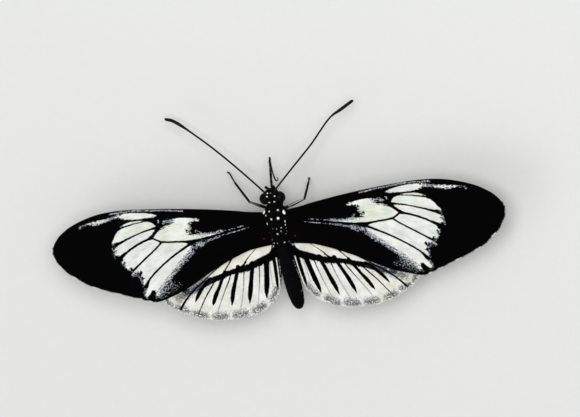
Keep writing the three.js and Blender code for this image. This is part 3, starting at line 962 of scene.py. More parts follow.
FOREWING = WingPlan(
    slot="forewing",
    level=7.0,
    outline=[
        [2.15, 1.5], [5.2, 2.4], [10.5, 3.4], [15.9, 4.15], [21, 4.68], [25.5, 4.93], [29.5, 4.65],
        [33, 3.72], [35.7, 2.5], [37.6, 1.1], [38.75, -0.5], [38.95, -1.8], [38.4, -3.4],
        [36.8, -5.4], [33.5, -7.75], [29.4, -9.35], [25.8, -10.65], [23, -11.5], [20.6, -10.95],
        [17.2, -9.65], [12.3, -7.1], [9.1, -5.65], [5.6, -4.4], [2.6, -3.8], [2, -2.8], [2.2, -1],
    ],
    apex=10,
    heel=17,
    root_rear=23,
    columns=290,
    rows=145,
    veins=[
        Stroke(
            [
                [2.2, 0.9], [9, 1.85], [15, 2.65], [19.4, 2.93], [23, 2.98], [25.5, 2.85],
                [31, 2.1], [37.2, 0.3],
            ],
            [0.17, 0.1],
        ),
        Stroke([[2.2, 1.15], [6, 2.15], [11, 2.95], [15, 3.45], [18.6, 3.95]], [0.12, 0.06]),
        Stroke(
            [
                [18.8, 2.9], [21.4, 2.7], [23.7, 2.44], [26.3, 1.93], [30, 0.7], [34, -1.1],
                [38.3, -2.9],
            ],
            [0.05, 0.04],
        ),
        Stroke([[23.6, 2.85], [28, 3.05], [32, 2.9], [35.2, 2.4]], [0.0]),
        Stroke([[26, 2.65], [31, 1.3], [35, -0.2], [38.3, -1.5]], [0.0]),
        Stroke(
            [
                [2.2, -0.1], [5, -0.3], [8.3, -0.73], [11.65, -1.2], [14.46, -1.53],
                [17.29, -1.47], [18.71, -1.37], [20.11, -1.2], [21.29, -0.44],
            ],
            [0.12, 0.1],
        ),
        Stroke(
            [[21.29, -0.44], [20.84, 0.5], [20.32, 1.17], [19.5, 2.05], [18.8, 2.9]],
            [0.1, 0.14, 0.26],
        ),
        Stroke(
            [
                [20.32, 1.26], [21.72, 1.09], [22.93, 0.79], [24.11, 0.41], [25.28, -0.01],
                [26.44, -0.46], [27.58, -0.94], [33, -3.4], [37.3, -5.1],
            ],
            [0.09, 0.07],
        ),
        Stroke(
            [
                [21.29, -0.44], [22.65, -0.66], [23.78, -1.06], [24.88, -1.57], [25.93, -2.16],
                [26.96, -2.8], [28, -3.41], [31.2, -5.4], [34.3, -7.3],
            ],
            [0.1, 0.07],
        ),
        Stroke(
            [
                [20.11, -1.28], [21.06, -2.1], [22.13, -2.89], [23.19, -3.66], [24.24, -4.45],
                [25.27, -5.25], [26.27, -6.1], [29.5, -9.3],
            ],
            [0.09, 0.07],
        ),
        Stroke(
            [
                [13.4, -1.5], [15.72, -2.47], [17.28, -3.24], [18.8, -4.08], [20.25, -4.98],
                [21.66, -5.96], [23.02, -7.03], [24.24, -8.3], [25.3, -9.6], [25.9, -10.65],
            ],
            [0.12, 0.08],
        ),
        Stroke(
            [[9.6, -1.6], [15, -4.5], [19.3, -7.0], [21.6, -8.8], [23, -10.2], [23.7, -11.3]],
            [0.0, 0.0, 0.0, 0.06, 0.12],
        ),
        Stroke([[2.2, -1.2], [8, -3.7], [14, -6.7], [18.8, -9.2], [21.8, -11.2]], [0.1, 0.07]),
    ],
    windows=[
        [
            [19.73, 3.46], [20.49, 3.82], [21.35, 4.0], [22.2, 4.16], [23.07, 4.27], [23.93, 4.33],
            [24.8, 4.34], [25.67, 4.31], [26.52, 4.13], [25.91, 3.56], [25.07, 3.29],
            [24.19, 3.19], [23.29, 3.16], [22.39, 3.03], [21.5, 3.12], [20.6, 3.25],
        ],
        [
            [21.97, 2.7], [22.87, 2.86], [23.79, 2.87], [24.69, 2.74], [25.56, 2.47],
            [26.38, 2.07], [25.49, 2.23], [24.61, 2.39], [23.73, 2.55], [22.84, 2.63],
        ],
        [
            [20.31, 1.66], [20.82, 2.24], [21.56, 2.51], [22.36, 2.52], [23.16, 2.42],
            [23.95, 2.28], [24.74, 2.11], [25.52, 1.92], [26.28, 1.69], [26.99, 1.35],
            [27.53, 0.77], [27.95, 0.1], [28.38, -0.54], [27.33, -0.5], [26.32, -0.2],
            [25.32, 0.16], [24.31, 0.5], [23.3, 0.82], [22.28, 1.1], [21.25, 1.32],
        ],
        [
            [20.54, 1.06], [21.75, 0.91], [22.93, 0.65], [24.09, 0.28], [25.23, -0.14],
            [26.35, -0.61], [27.45, -1.13], [28.38, -1.88], [28.02, -1.86], [27.83, -1.94],
            [28.1, -2.31], [28.36, -2.69], [28.59, -3.08], [27.47, -2.8], [26.44, -2.29],
            [25.43, -1.71], [24.41, -1.17], [23.34, -0.72], [22.25, -0.35], [21.35, 0.23],
        ],
        [
            [21.3, -0.66], [22.2, -0.77], [23.07, -1.05], [23.93, -1.38], [24.75, -1.78],
            [25.55, -2.22], [26.33, -2.7], [27.03, -3.29], [27.45, -4.09], [26.96, -4.01],
            [26.76, -4.12], [26.9, -4.46], [27.04, -4.8], [26.8, -5.16], [26.5, -5.27],
            [26.13, -5.07], [25.75, -5.34], [24.94, -4.77], [24.15, -4.19], [23.35, -3.63],
            [22.53, -3.07], [21.72, -2.52], [20.92, -1.96], [20.13, -1.37], [20.72, -1.02],
        ],
        [
            [19.92, -1.46], [19.04, -1.51], [18.16, -1.57], [17.28, -1.65], [16.4, -1.76],
            [15.57, -2.0], [16.74, -2.69], [17.95, -3.33], [19.13, -4.04], [20.27, -4.79],
            [21.39, -5.57], [22.49, -6.38], [23.51, -7.29], [24.53, -8.31], [24.7, -7.75],
            [24.36, -7.39], [24.23, -7.08], [24.7, -6.84], [24.49, -6.45], [24.3, -6.03],
            [24.66, -5.75], [24.94, -6.22], [25.05, -5.7], [25.39, -6.1], [25.68, -5.9],
            [25.96, -6.29], [26.5, -6.5], [25.52, -5.65], [24.59, -4.94], [23.66, -4.25],
            [22.71, -3.57], [21.75, -2.9], [20.81, -2.21],
        ],
        [
            [15.15, -2.36], [16.42, -2.96], [17.67, -3.59], [18.89, -4.28], [20.07, -5.04],
            [21.22, -5.85], [22.33, -6.7], [23.36, -7.65], [24.01, -8.85], [24.35, -9.25],
            [24.67, -9.66], [24.83, -10.18], [24.46, -10.45], [24.1, -10.15], [23.78, -9.83],
            [23.48, -9.4], [22.9, -9.4], [22.78, -10.01], [22.94, -10.58], [23.2, -11.0],
            [22.8, -10.6], [22.46, -9.98], [22.12, -9.49], [21.48, -8.69], [20.73, -7.98],
            [20.02, -7.24], [19.31, -6.51], [18.54, -5.82], [17.81, -5.09], [17.0, -4.46],
            [16.22, -3.8], [15.46, -3.11],
        ],
        [
            [21.17, -0.37], [20.72, 0.1], [20.23, 0.53], [19.69, 0.9], [19.1, 1.17], [18.48, 1.35],
            [17.84, 1.45], [17.59, 1.69], [17.33, 1.91], [17.01, 1.99], [16.97, 2.18],
            [17.24, 2.48], [16.58, 2.57], [15.92, 2.61], [15.26, 2.54], [14.61, 2.43],
            [13.97, 2.28], [13.32, 2.13], [12.73, 1.88], [13.11, 1.83], [13.49, 1.83],
            [13.87, 1.85], [14.23, 1.8], [14.56, 1.61], [14.8, 1.33], [14.68, 0.93], [14.3, 0.61],
            [14.69, 0.54], [15.15, 0.61], [15.5, 0.48], [15.3, 0.15], [14.8, -0.05],
            [15.11, -0.42], [14.76, -0.64], [14.34, -0.71], [13.89, -0.61], [13.45, -0.57],
            [13.03, -0.76], [11.78, -0.82], [10.53, -0.84], [11.38, -1.0], [12.61, -1.28],
            [13.86, -1.41], [15.1, -1.43], [16.35, -1.38], [17.6, -1.27], [18.86, -1.19],
            [20.08, -0.98],
        ],
        [
            [28.26, 3.44], [28.97, 3.55], [29.68, 3.55], [30.39, 3.45], [31.11, 3.32],
            [31.81, 3.12], [31.12, 3.0], [30.38, 2.94], [29.67, 3.04], [28.96, 3.22],
        ],
    ],
    dust=[
        Stroke([[14.2, -0.95], [12.01, -0.85], [10.75, -0.72], [9.49, -0.55]], [0.26], 0.95),
        Stroke([[9.49, -0.55], [8.22, -0.39], [6.96, -0.23], [5.7, -0.03]], [0.1], 0.46),
        Stroke([[15.2, -2.85], [14.05, -2.49], [12.9, -2.17]], [0.42], 0.75),
        Stroke([[13.38, -2.2], [11.72, -1.76], [10.03, -1.36]], [0.16], 0.62),
        Stroke([[10.03, -1.36], [8.32, -1.04], [6.61, -0.75], [4.91, -0.4]], [0.1], 0.5),
        Stroke(WINDOW_REAR, [0.42], 0.86),
        Stroke([[19.9, -8.4], [21.04, -9.37], [22.39, -10.31]], [0.7], 0.33),
        Stroke([[18.6, -8.9], [20.0, -9.8], [22.0, -10.7]], [0.5], 0.23),
        Stroke([[13.65, 0.0], [13.02, -0.45], [12.16, -0.66]], [0.22], 0.6),
        Stroke([[19.6, 2.3], [18.58, 2.19], [17.77, 2.23], [17.01, 1.97]], [0.34], 0.6),
        Stroke(
            [
                [15.2, 3.72], [17.6, 4.07], [18.8, 4.22], [20.1, 4.36], [21.3, 4.48], [22.6, 4.58],
                [23.8, 4.64], [25.1, 4.66], [26.4, 4.6], [27.6, 4.5],
            ],
            [0.1], 1.1,
        ),
        Stroke([[26.3, 3.95], [27.29, 3.73], [28.3, 3.55]], [0.3], 0.72),
        Stroke([[31.5, 3.1], [32.6, 2.9], [33.4, 2.65]], [0.25], 0.5),
        Stroke([[28.2, -0.6], [28.5, -1.73], [28.5, -3.2]], [0.2], 0.4),
        Stroke([[27.5, -4.04], [27.0, -5.1], [26.2, -5.8]], [0.22], 0.42),
        Stroke([[26.2, -6.6], [25.2, -6.57], [24.8, -7.46], [24.8, -8.5]], [0.22], 0.4),
        Stroke([[24.6, -9.11], [24.95, -9.99], [24.5, -10.7]], [0.2], 0.4),
    ],
    ragged=[
        Stroke(WINDOW_REAR, [0.6], 0.75),
        Stroke([[28.2, -0.6], [28.1, -2.6], [27.0, -4.6], [26.1, -5.7]], [0.35], 0.26),
        Stroke([[26.2, -6.2], [24.9, -6.3], [24.3, -7.4], [24.5, -9.8]], [0.32], 0.22),
        Stroke([[13.2, 1.9], [14.6, 1.2], [15.1, 0.1], [14.4, -0.7], [12, -0.9]], [0.5], 0.55),
        Stroke([[17.0, 2.2], [18, 1.6], [19.4, 1.2]], [0.3], 0.35),
        Stroke([[26.3, 3.8], [28.5, 3.5], [31, 3], [32.5, 3]], [0.6], 0.6),
        Stroke([[20, 3.3], [23, 3.1], [26, 3.6]], [0.25], 0.4),
    ],
    # painted shade: grey bands painted along the folds through the windows
    vein_grey_and_fold_shade=[
        Stroke([[21.6, -1.2], [23.8, -2.4], [25.8, -3.9], [26.9, -4.9]], [0.22], 0.1),
        Stroke([[18.5, -2.4], [21.3, -4.3], [23.7, -6.6]], [0.3], 0.08),
        Stroke([[21.4, 0.5], [24.4, -0.4], [27.6, -1.9]], [0.16], 0.08),
    ],
    warm=[
        Stroke([[14.5, 0.6], [19, 0.3]], [1.9], 1.2),
        Stroke([[21.5, 1.9], [26.5, 1.2]], [0.9], 0.9), Stroke([[22, -2.2], [26, -4]], [1.0], 0.3),
    ],
    red=[Stroke([[2.64, -2.68], [2.72, -2.68]], [0.2], 1.0)],
    fringe_white=[(0.28, 0.33), (0.46, 0.52), (0.64, 0.7), (0.82, 0.87), (0.93, 0.96)],
)

HINDWING = WingPlan(
    slot="hindwing",
    level=6.44,
    outline=[
        [1.95, -2.1], [4.5, -1.75], [8.5, -2.8], [13, -4.7], [18, -7.3], [21.4, -9.6],
        [22.4, -11.2], [21.3, -12.7], [19.3, -13.95], [17.2, -15], [14.9, -15.75], [12.5, -16.05],
        [10.1, -16.1], [7.7, -15.8], [5.4, -15.1], [3.6, -13.75], [2.25, -12.15], [1.62, -10.4],
        [1.22, -8.9], [1.0, -6.6], [0.95, -4.2],
    ],
    apex=6,
    heel=16,
    root_rear=20,
    columns=190,
    rows=165,
    veins=[
        Stroke(
            [
                [2.2, -2.3], [6, -3.9], [10.9, -6.5], [13.33, -8.03], [15.19, -9.38],
                [16.3, -10.13], [17.51, -11.13], [18.56, -12.19], [19.56, -13.4],
            ],
            [0.07, 0.08, 0.13, 0.16, 0.2],
        ),
        Stroke(
            [
                [2.2, -2.6], [4.4, -4.2], [5.3, -4.98], [6.2, -5.76], [7.0, -6.6], [7.3, -7.2],
                [7.49, -8.04], [7.8, -9.35], [8.23, -10.97], [8.87, -12.86], [9.7, -15.9],
            ],
            [0.06, 0.06, 0.06, 0.12, 0.14, 0.1, 0.03, 0.0, 0.0],
        ),
        Stroke(
            [
                [2.2, -2.4], [6, -3.7], [8.9, -5.5], [9.6, -6.35], [10.34, -7.2], [11.1, -8.0],
                [12.61, -9.09], [13.69, -10.36], [14.7, -11.55], [15.34, -12.44], [16.7, -14.45],
                [17, -15],
            ],
            [0.1, 0.1, 0.17, 0.1, 0.1, 0.1, 0.12, 0.12, 0.1, 0.1, 0.04],
        ),
        Stroke(
            [
                [2.2, -5.2], [3.6, -6.5], [4.72, -7.51], [4.93, -8.52], [5.49, -10.84],
                [6.05, -12.85], [6.5, -14.34], [6.7, -15.4],
            ],
            [0.1, 0.1, 0.1, 0.02, 0.0, 0.0],
        ),
        Stroke(
            [
                [6.8, -6.6], [8.2, -7.4], [9.74, -8.31], [10.34, -9.33], [11.08, -10.52],
                [11.86, -11.79], [12.82, -13.42], [13.59, -14.84], [13.8, -15.8],
            ],
            [0.1, 0.1, 0.11, 0.03, 0.0, 0.0],
        ),
        Stroke([[2.0, -4.6], [2.8, -6.8], [3.1, -9], [3.25, -11], [3.5, -13.2]], [0.06, 0.0, 0.0]),
    ],
    windows=[
        [
            [1.95, -3.2], [4, -3.0], [8, -4.2], [13, -6.6], [17, -8.6], [18, -9.4], [17.2, -10.3],
            [15.3, -9.2], [13.54, -8.57], [11.96, -8.17], [10.42, -7.71], [8.57, -7.3],
            [6.85, -6.98], [5.51, -6.52], [4.4, -6.02], [3.3, -5.7], [2.6, -5.38], [2.12, -4.9],
            [1.97, -4.3],
        ],
        [
            [1.55, -6.3], [1.69, -6.45], [2.57, -6.94], [4.88, -7.58], [6.58, -8.16],
            [7.98, -8.29], [9.54, -8.42], [10.43, -8.73], [12.04, -9.19], [13.49, -9.7],
            [15.76, -10.51], [17.1, -11.05], [18.3, -11.0], [18.6, -10.4], [20, -10.0], [26, -10],
            [26, -20], [2.2, -20], [2.1, -12.4], [1.98, -11.3], [1.81, -9.8], [1.65, -8.1],
        ],
    ],
    marks=[
        Stroke(
            [[2.02, -6.0], [2.08, -7.3], [2.22, -9.1], [2.4, -10.8], [2.5, -11.9]],
            [0.32, 0.33, 0.31, 0.26, 0.05],
        ),
        Stroke(
            [
                [3.3, -6.4], [3.47, -7.18], [3.79, -8.93], [4.16, -10.68], [4.51, -12.09],
                [4.72, -13.4],
            ],
            [0.62, 0.47, 0.44, 0.46, 0.36, 0.0],
        ),
        Stroke(
            [
                [5.8, -6.9], [5.99, -7.66], [6.55, -9.55], [7.04, -11.17], [7.46, -12.53],
                [7.8, -14.0],
            ],
            [0.43, 0.37, 0.34, 0.42, 0.36, 0.0],
        ),
        Stroke(
            [
                [8.3, -7.2], [8.55, -7.85], [9.37, -9.74], [10.0, -11.24], [10.48, -12.63],
                [10.87, -14.0],
            ],
            [0.38, 0.32, 0.31, 0.38, 0.35, 0.0],
        ),
        Stroke(
            [
                [10.7, -7.8], [11.02, -8.28], [12.27, -10.39], [13.13, -11.7], [13.69, -12.76],
                [14.07, -13.5],
            ],
            [0.32, 0.28, 0.27, 0.37, 0.3, 0.0],
        ),
        Stroke(
            [
                [13.4, -8.7], [13.93, -9.06], [14.91, -9.99], [15.76, -10.89], [16.39, -11.77],
                [16.92, -12.65],
            ],
            [0.3, 0.3, 0.28, 0.34, 0.25, 0.0],
        ),
    ],
    # real faint grey lines along the veins, past where the black vein lines end
    vein_grey_and_fold_shade=[
        Stroke(
            [[10.34, -9.33], [11.08, -10.52], [11.86, -11.79], [12.82, -13.42], [13.59, -14.84]],
            [0.09], 0.6,
        ),
        Stroke([[7.8, -9.35], [8.23, -10.97], [8.87, -12.86], [9.51, -14.57]], [0.09], 0.5),
        Stroke([[4.93, -8.52], [5.49, -10.84], [6.05, -12.85], [6.5, -14.34]], [0.09], 0.45),
        Stroke([[2.8, -7.2], [3.1, -9], [3.25, -11]], [0.08], 0.3),
    ],
    dust=[
        Stroke([[14.8, -9.3], [16.5, -10.3], [18.2, -11.1]], [0.5], 0.6),
        Stroke([[1.62, -3.85], [1.7, -4.5]], [0.12], 0.7),
        Stroke([[1.22, -6.9], [1.37, -8.3], [1.6, -9.8], [1.85, -11.1]], [0.07], 0.5),
    ],
    ragged=[
        Stroke([[1.7, -6.5], [4.9, -7.6], [8, -8.3], [12, -9.2], [15.8, -10.5]], [0.35], 0.14),
        Stroke([[2.0, -4.9], [4.9, -6.3], [8.5, -7.2], [12, -8.1], [15, -9.1]], [0.3], 0.07),
        Stroke(
            [[4.6, -13.4], [7.6, -13.9], [10.7, -13.9], [13.9, -13.4], [16.8, -12.6]], [0.5], 0.25,
        ),
        Stroke([[15.2, -10.6], [16.2, -11.5], [16.9, -12.5]], [0.35], 0.35),
        Stroke([[16.5, -10.2], [18.2, -10.9], [20, -11.6]], [0.6], 0.4),
    ],
    grey=[
        Stroke([[3.85, -13.35], [3.15, -12.55], [2.7, -11.75]], [0.6], 1.0),
        Stroke([[7.15, -15.2], [6.32, -14.85], [5.6, -14.35]], [0.7], 1.05),
        Stroke([[10.45, -15.5], [9.6, -15.45], [8.75, -15.3]], [0.72], 1.05),
        Stroke([[13.9, -15.4], [13.05, -15.45], [12.3, -15.4]], [0.68], 1.05),
        Stroke([[17.25, -14.5], [16.45, -14.72], [15.65, -15.0]], [0.6], 1.05),
        Stroke([[20.05, -13.05], [19.25, -13.38], [18.55, -13.78]], [0.56], 1.05),
        Stroke([[21.7, -11.3], [21.4, -11.95], [21.0, -12.5]], [0.52], 1.0),
        Stroke(
            [[14.4, -9.0], [16.0, -9.75], [17.4, -10.45], [18.6, -11.05], [19.4, -11.4]], [0.95],
            1.0,
        ),
        Stroke([[2, -2], [8, -2.4], [14, -5.0], [20, -8.7]], [1.1], 1.3),
    ],
    warm=[
        Stroke([[2.4, -4.2], [7, -5.3], [10, -6.4], [13, -7.6]], [0.65], 0.95),
        Stroke([[21, -11.6], [19, -12.0]], [0.8], 0.8),
        Stroke([[15.2, -10.9], [17.5, -13.4]], [0.35], 0.8),
        Stroke([[12.3, -9.6], [15.5, -13.6]], [0.3], 0.7),
        Stroke([[10, -8.8], [12.8, -12.6]], [0.3], 0.5),
    ],
    fringe_white=[(0.0, 1.0)],
)


@dataclass
class Wing:
    """One wing: a thin veined membrane with a scale fringe on its outer margin."""

    plan: WingPlan
    side: Side
    look: bpy.types.Material
    thickness: float = 0.08
    ridge: float = 0.07
    ridge_width: float = 0.09
    swell: float = 0.09
    swell_run: float = 0.9
    arch: float = 0.7
    arch_span: float = 45.0
    scallop: float = 0.11
    corner_run: float = 0.5
    snap: float = 0.42
    root_reach: float = 1.1
    root_run: float = 0.9
    streak_run: float = 16.0
    streak_rows: float = 62.0
    fringe_length: float = 0.26
    fringe_step: float = 0.055
    fringe_width: float = 0.085
    fringe_sink: float = 0.06
    fringe_droop: float = 0.02
    seed: int = 11

    @property
    def name(self) -> str:
        """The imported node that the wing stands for."""
        return f"{self.plan.slot}_{self.side.word}"

    def edges(self) -> tuple[Array, Array, Array]:
        """Split the outline at its corners.

        Returns:
            The front edge, the outer margin and the rear edge, each from root or apex out.
        """
        plan = self.plan
        ring = smooth(plan.outline, closed=True)
        apex, heel, rear = (CURVE_STEPS * k for k in (plan.apex, plan.heel, plan.root_rear))
        margin = ring[apex : heel + 1]
        length = np.concatenate([[0], np.cumsum(np.linalg.norm(np.diff(margin, axis=0), axis=1))])
        ends = [np.linalg.norm(margin - stroke.knots[-1], axis=1) for stroke in plan.veins]
        stops = sorted({float(length[np.argmin(end)]) for end in ends})
        last = float(length[-1])
        inner = [stop for stop in stops if self.corner_run < stop < last - self.corner_run]
        stops = [0.0, *inner, last]
        share = np.interp(length, stops, np.arange(len(stops)))
        dip = self.scallop * np.sin(np.pi * (share % 1.0)) ** 2
        way = unit(np.gradient(margin, axis=0))
        inward = np.stack([way[:, 1], -way[:, 0]], axis=1)
        return ring[: apex + 1], margin + inward * dip[:, None], ring[heel : rear + 1][::-1]

    def spread(self, u: Array, v: Array) -> Array:
        """Fill the space between the four edges.

        Args:
            u: Share of the way from root to outer margin.
            v: Share of the way from front to rear edge.

        Returns:
            Rows of out and ahead.
        """
        front, margin, rear = self.edges()
        top, low, end = spaced(front, u), spaced(rear, u), spaced(margin, v)
        u, v = u[:, None], v[:, None]
        root = front[0] + (rear[0] - front[0]) * v
        near = (1 - v) * front[0] + v * rear[0]
        far = (1 - v) * front[-1] + v * rear[-1]
        corners = (1 - u) * near + u * far
        return (1 - v) * top + v * low + (1 - u) * root + u * end - corners

    def snapped(self, flat: Array, u: Array, v: Array) -> Array:
        """Draw vertices beside a vein onto it.

        Args:
            flat: Rows of out and ahead.
            u: Each row's share from root to outer margin.
            v: Each row's share from front to rear edge.

        Returns:
            The rows, with those near a vein on its line.
        """
        beside = self.spread(np.clip(u + 1 / self.plan.columns, 0, 1), v)
        below = self.spread(u, np.clip(v + 1 / self.plan.rows, 0, 1))
        cell = np.minimum(*(np.linalg.norm(next_to - flat, axis=1) for next_to in (beside, below)))
        rim = 0.001
        free = (u > rim) & (u < 1 - rim) & (v > rim) & (v < 1 - rim)
        moved = flat.copy()
        for stroke in self.plan.veins:
            place, gap = nearest(flat, stroke.path()[0])
            near = free & (gap < self.snap * cell)
            moved[near] = place[near]
        return moved

    def rise(self, flat: Array) -> Array:
        """Find the membrane's level, arched along the span and swollen between veins.

        Args:
            flat: Rows of out and ahead.

        Returns:
            The level of each row, in millimetres.
        """
        gap = np.min([stroke.gap(flat) for stroke in self.plan.veins], axis=0)
        swell = self.swell * (1 - np.exp(-((gap / self.swell_run) ** 2)))
        return self.plan.level + self.arch * np.sin(np.pi * flat[:, 0] / self.arch_span) + swell

    def rooted(self, flat: Array, u: Array) -> Array:
        """Draw the root end on into the thorax.

        Args:
            flat: Rows of out and ahead.
            u: Each row's share from root to outer margin.

        Returns:
            The rows, with those at the root moved inwards.
        """
        span = self.plan.outline[self.plan.apex][0]
        pull = self.root_reach * np.exp(-((u * span / self.root_run) ** 2))
        return np.stack([flat[:, 0] - pull, flat[:, 1]], axis=1)

    def markings(self, flat: Array, u: Array, v: Array) -> dict[str, Array]:
        """Work out the wing's pattern.

        Args:
            flat: Rows of out and ahead.
            u: Each row's share from root to outer margin.
            v: Each row's share from front to rear edge.

        Returns:
            The numbers that the wing material reads, by name.
        """
        plan = self.plan
        pale = np.max([depth(flat, window) for window in plan.windows], axis=0)
        return {
            "pale": np.maximum(pale, OUTSIDE),
            "line": crisp(flat, [*plan.veins, *plan.marks]),
            "red": haze(self.rooted(flat, u), plan.red),
            "run": u * self.streak_run,
            "row": v * self.streak_rows,
            **{key: haze(flat, getattr(plan, key)) for key in HAZES},
        }

    def build(self) -> None:
        """Make the membrane and its fringe."""
        obj, u, v = sheet(self.name + "_membrane", self.plan.columns, self.plan.rows)
        flat = self.snapped(self.spread(u, v), u, v)
        shaped = np.column_stack([self.rooted(flat, u), self.rise(flat)])
        write_points(obj, placed(self.side, shaped))
        if np.mean([face.normal.z for face in obj.data.polygons]) < 0:
            obj.data.flip_normals()
        wall = obj.modifiers.new("wall", "SOLIDIFY")
        wall.thickness = self.thickness * MM
        wall.offset = -1
        only(obj)
        bpy.ops.object.modifier_apply(modifier="wall")
        gap = np.min([stroke.gap(flat) for stroke in self.plan.veins], axis=0)
        lift = np.exp(-((gap / self.ridge_width) ** 2)) * self.ridge * MM
        points = read_points(obj)
        points[:, 2] += np.concatenate([lift, -lift])
        write_points(obj, points)
        for key, values in self.markings(flat, u, v).items():
            paint(obj, key, np.tile(values, 2))
        paint(obj, "under", np.repeat([0.0, 1.0], len(flat)))
        soften(obj)
        fit(obj, self.plan.slot, self.look, self.name)
        self.fringe()

    def fringe(self) -> None:
        """Set a row of small scales along the outer margin."""
        rng = np.random.default_rng(self.seed + self.side.value)
        margin = self.edges()[1]
        length = float(np.linalg.norm(np.diff(margin, axis=0), axis=1).sum())
        count = int(length / self.fringe_step)
        share = (np.arange(count) + rng.uniform(-0.3, 0.3, count)) / count
        share = np.clip(share, 0.002, 0.998)
        foot = spaced(margin, share)
        ahead = courses(margin, share, 0.004)
        outward = np.stack([-ahead[:, 1], ahead[:, 0]], axis=1)
        long = self.fringe_length * rng.uniform(0.55, 1.1, count)
        tip = foot + outward * long[:, None] + ahead * rng.normal(0, 0.03, (count, 1))
        level = self.rise(foot) - self.thickness / 2
        roots = np.column_stack([foot - outward * self.fringe_sink, level])
        tips = np.column_stack([tip, level - self.fringe_droop])
        obj = blades(
            self.name + "_fringe",
            placed(self.side, roots),
            placed(self.side, tips),
            turned(self.side, np.column_stack([ahead, np.zeros(count)])),
            self.fringe_width * MM,
            0.0,
        )
        white = np.zeros(count, bool)
        for low, high in self.plan.fringe_white:
            white |= (share >= low) & (share <= high)
        white &= rng.random(count) < 0.85
        paint(obj, "pale", np.repeat(np.where(white, 1.0, -1.0), BLADE_CORNERS))
        paint(obj, "line", np.full(count * BLADE_CORNERS, -1.0))
        for key in (*HAZES, "red", "under", "run", "row"):
            paint(obj, key, np.zeros(count * BLADE_CORNERS))
        fit(obj, self.plan.slot, self.look)


@dataclass
class Dot:
    """A pale dot of the coat, its out being to the animal's left.

    warm is how yellow the dot is, and stretch how many times wider than long.
    """

    out: float
    ahead: float
    radius: float
    warm: float = 0.0
    stretch: float = 1.0


@dataclass
class Coat:
    """One piece of the coat.

    span is the stretch of the body that it covers, as shares from head to tail, length its
    tufts' length in millimetres, and lift how steeply they stand, 0 flat and 1 upright.
    """

    name: str
    count: int
    span: tuple[float, float]
    length: float
    lift: float


